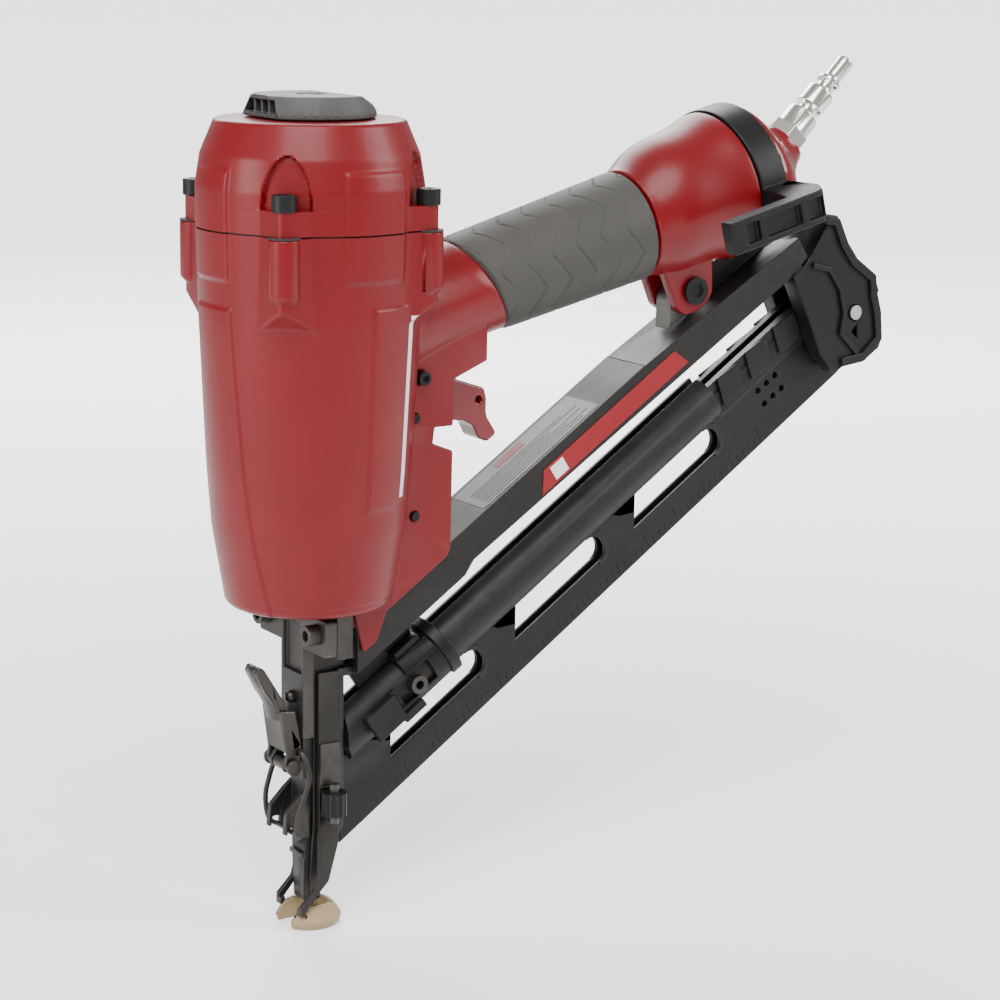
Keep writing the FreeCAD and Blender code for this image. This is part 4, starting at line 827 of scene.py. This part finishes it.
class NAILER_OT_housing(bpy.types.Operator):
    """Painted casting of body, fin, handle root, bell and ears"""
    bl_idname = "nailer.housing"
    bl_label = "Housing"

    def execute(self, context):
        sizes = context.scene.nailer_sizes
        paint = finish("housing_paint")
        finished_copy("main_housing", "housing_shell", paint, 0.0007, 38.0)
        gap = sizes.seam_gap / MM / 2
        seam = SEAM_Z - gap
        heights = np.concatenate([np.arange(113.0, 209.0, 1.25), np.arange(209.0, seam, 0.6), [seam]])
        grid = eased_in(casting_rows(heights, BODY_PROFILE, sizes), 3.2)
        skin = add_mesh("housing_skin", closed_tube(grid), "tool", paint, 34.0)
        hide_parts("main_housing")
        z = np.linspace(150.5, 213.0, 60)
        t = np.linspace(-60.6, -57.0, 8)
        tt, zz = np.meshgrid(t, z)
        rows = []
        for lift in (-0.3, 0.10):
            r = body_radius(tt, zz, BODY_PROFILE, sizes) + lift
            a = np.radians(tt)
            rows.append(np.stack([r * np.cos(a), r * np.sin(a), zz], axis=-1))
        loop = np.concatenate([rows[1], rows[0][:, ::-1]], axis=1)
        mark("body_stripe", closed_tube(loop), "pale_print", 40.0)
        return {"FINISHED"}


class NAILER_OT_cap(bpy.types.Operator):
    """Cylinder cap with its screws, exhaust deflector and deflector screw"""
    bl_idname = "nailer.cap"
    bl_label = "Cap"

    def execute(self, context):
        sizes = context.scene.nailer_sizes
        gap = sizes.seam_gap / MM / 2
        heights = np.concatenate([
            [SEAM_Z + gap], np.arange(241.9, 249.3, 0.8), [249.4, 249.5],
            np.arange(250.0, 276.2, 0.75), [276.2]])
        grid = casting_rows(heights, CAP_PROFILE, sizes)
        top = grid[-1]
        shoulder = [np.concatenate([top[:, :2] * (1.0 - k * 0.018), top[:, 2:] + h], axis=1)
                    for k, h in ((1, 0.45), (2, 0.65), (3, 0.72))]
        grid = np.concatenate([grid, np.array(shoulder)])
        skin = add_mesh("cap_skin", closed_tube(grid), "tool", finish("housing_paint"), 34.0)
        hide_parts("cylinder_cap")
        finished_copy("cap_screws", "cap_screw_set", finish("black_oxide"), 0.0003)
        finished_copy("exhaust_deflector", "deflector", finish("deflector_plastic"), 0.0005)
        finished_copy("deflector_screw", "deflector_screw_head", finish("black_oxide"), 0.0002)
        return {"FINISHED"}


class NAILER_OT_grip(bpy.types.Operator):
    """Rubber sleeve with wavy grooves"""
    bl_idname = "nailer.grip"
    bl_label = "Grip"

    def execute(self, context):
        sizes = context.scene.nailer_sizes
        phi = np.linspace(0.0, 2.0 * math.pi, 232, endpoint=False)
        share = np.linspace(0.0, 1.0, 250)
        p, s = np.meshgrid(phi, share)
        start = 60.0 + 0.358 * (19.0 - 18.9 * np.sin(p)) + 0.7 * np.sin(3.0 * p)
        u = start + s * (GRIP_END - start)
        radius = np.interp(u, [48.0, 137.0], [18.4, 20.6])
        wave = p * 3.0 / (2.0 * math.pi) * 2.0
        zigzag = np.abs((wave + 0.25) % 1.0 - 0.5) * 4.0 - 1.0
        line = u + 3.2 * zigzag - 62.0
        pitch = sizes.groove_pitch / MM
        off = np.abs((line + pitch / 2) % pitch - pitch / 2)
        fade = 0.35 + 0.65 * ease((np.sin(p * 3.0 + np.floor(line / pitch) * 1.7) + 0.7) / 1.2)
        groove = np.exp(-(off / 0.42) ** 2) * fade
        ends = 1.2 * (1.0 - ease(s / 0.022)) ** 2 + 0.9 * (1.0 - ease((1.0 - s) / 0.014)) ** 2
        swell = 0.25 * np.sin(p * 2.0) ** 2
        radius = radius - sizes.groove_depth / MM * groove - ends + swell * ease(s / 0.1)
        centre = np.interp(u, [48.0, 137.0], [0.0, 0.2])
        grid = handle_place(u, centre + radius * np.sin(p), radius * np.cos(p))
        sleeve = mark("grip_sleeve", closed_tube(grid), "grip_rubber", 60.0)
        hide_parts("handle_grip")
        return {"FINISHED"}


class NAILER_OT_handle_end(bpy.types.Operator):
    """Inlet cap, belt hook and air plug"""
    bl_idname = "nailer.handle_end"
    bl_label = "Handle end"

    def execute(self, context):
        finished_copy("end_cap", "inlet_cap", finish("inlet_gloss"), 0.0006)
        finished_copy("belt_hook", "belt_hook_moulding", finish("black_moulding"), 0.0006)
        finished_copy("air_plug", "quick_plug", finish("nickel"), 0.00025)
        return {"FINISHED"}


class NAILER_OT_trigger(bpy.types.Operator):
    """Trigger, its rocker, pins and valve"""
    bl_idname = "nailer.trigger"
    bl_label = "Trigger"

    def execute(self, context):
        finished_copy("trigger", "trigger_piece", finish("inlet_gloss"), 0.0009, 40.0)
        finished_copy("trigger_lever", "trigger_rocker", finish("bright_steel"), 0.0002)
        finished_copy("trigger_pivot_pin", "pivot_pin", finish("black_oxide"), 0.0003)
        finished_copy("rail_pins", "cross_pins", finish("black_oxide"), 0.0002)
        finished_copy("trigger_valve_body", "valve_body", finish("valve_brass"), 0.0002)
        finished_copy("trigger_valve_stem", "valve_stem", finish("valve_brass"), 0.0002)
        return {"FINISHED"}


class NAILER_OT_magazine(bpy.types.Operator):
    """Rail, track, rear bracket and pusher, with their printed and moulded marks"""
    bl_idname = "nailer.magazine"
    bl_label = "Magazine"

    def execute(self, context):
        sizes = context.scene.nailer_sizes
        finished_copy("magazine_rail", "upper_rail", finish("anodised"), sizes.edge_round)
        finished_copy("magazine_track", "lower_track", finish("anodised"), sizes.edge_round)
        finished_copy("rear_bracket", "end_bracket", finish("black_moulding"), 0.0007)
        finished_copy("magazine_bracket", "lug", finish("lug_steel"), 0.0006)
        finished_copy("bracket_bolt", "lug_bolt", finish("black_oxide"), 0.0003)
        finished_copy("pusher", "pusher_body", finish("black_moulding"), 0.0005)
        finished_copy("pusher_latch", "pusher_release", finish("black_moulding"), 0.0005)
        finished_copy("pusher_spring", "spring_roll", finish("latch_steel"), 0.0002)
        rail_marks()
        blade_ticks(sizes.tick_height / MM)
        rail_top_panel()
        track_guides()
        bracket_detail()
        window_rims()
        return {"FINISHED"}


class NAILER_OT_nose(bpy.types.Operator):
    """Nose, front cover, door, latch, work contact, pad and depth wheel"""
    bl_idname = "nailer.nose"
    bl_label = "Nose"

    def execute(self, context):
        small = context.scene.nailer_sizes.edge_round
        finished_copy("nose_body", "nose_guide", finish("nose_steel"), small)
        finished_copy("nose_cover", "front_cover", finish("nose_casting"), 0.0005)
        finished_copy("nose_screws", "cover_screws", finish("nose_casting"), small)
        finished_copy("stop_pin", "round_pin", finish("latch_steel"), None)
        finished_copy("jam_door", "front_door", finish("nose_steel"), small)
        finished_copy("latch_pin", "latch_axle", finish("latch_steel"), 0.0004)
        finished_copy("latch_lever", "latch_thumb_lever", finish("latch_steel"), 0.0006)
        latch_wire()
        latch_thumb_piece()
        finished_copy("contact_fork", "work_contact", finish("nose_steel"), 0.0004)
        finished_copy("depth_wheel", "knurled_wheel", finish("black_oxide"), 0.0002)
        finished_copy("depth_post", "wheel_post", finish("latch_steel"), small)
        finished_copy("no_mar_pad", "soft_pad", finish("pad_rubber"), 0.0007)
        return {"FINISHED"}


class NAILER_OT_inside(bpy.types.Operator):
    """Finishes of the parts that sit inside the casting"""
    bl_idname = "nailer.inside"
    bl_label = "Inner parts"

    def execute(self, context):
        inner = {
            "cap_gasket": "black_rubber", "sleeve_seal": "black_rubber", "piston_bumper": "black_rubber",
            "piston_ring": "black_rubber", "head_valve_seal": "black_rubber", "rim_gasket": "black_rubber",
            "cylinder_sleeve": "bright_steel", "piston": "bright_steel", "driver_blade": "bright_steel",
            "head_valve": "black_moulding", "head_valve_spring": "bright_steel", "lever_pin": "bright_steel",
        }
        for node, name in inner.items():
            mesh = NODES[node].data
            mesh.materials.clear()
            mesh.materials.append(finish(name))
        return {"FINISHED"}


STEPS = (NAILER_OT_stage, NAILER_OT_housing, NAILER_OT_cap, NAILER_OT_grip, NAILER_OT_handle_end,
         NAILER_OT_trigger, NAILER_OT_magazine, NAILER_OT_nose, NAILER_OT_inside)


class NAILER_PT_panel(bpy.types.Panel):
    """Buttons and settings of the nail gun"""
    bl_label = "Nail gun"
    bl_space_type = "VIEW_3D"
    bl_region_type = "UI"
    bl_category = "Nail gun"

    def draw(self, context):
        for step in STEPS:
            self.layout.operator(step.bl_idname)
        for settings in (context.scene.nailer_sizes, context.scene.nailer_colours):
            box = self.layout.box()
            for name in settings.bl_rna.properties.keys():
                if name not in ("rna_type", "name"):
                    box.prop(settings, name)


CLASSES = (NailerSizes, NailerColours, *STEPS, NAILER_PT_panel)


def register():
    """Register the classes and hang the settings on the scene."""
    for cls in CLASSES:
        bpy.utils.register_class(cls)
    bpy.types.Scene.nailer_sizes = bpy.props.PointerProperty(type=NailerSizes)
    bpy.types.Scene.nailer_colours = bpy.props.PointerProperty(type=NailerColours)


def unregister():
    """Take the settings and classes away again."""
    del bpy.types.Scene.nailer_sizes
    del bpy.types.Scene.nailer_colours
    for cls in reversed(CLASSES):
        bpy.utils.unregister_class(cls)


def main():
    """Build everything in order."""
    register()
    bpy.ops.nailer.stage()
    bpy.ops.nailer.housing()
    bpy.ops.nailer.cap()
    bpy.ops.nailer.grip()
    bpy.ops.nailer.handle_end()
    bpy.ops.nailer.trigger()
    bpy.ops.nailer.magazine()
    bpy.ops.nailer.nose()
    bpy.ops.nailer.inside()


if __name__ == "__main__":
    main()
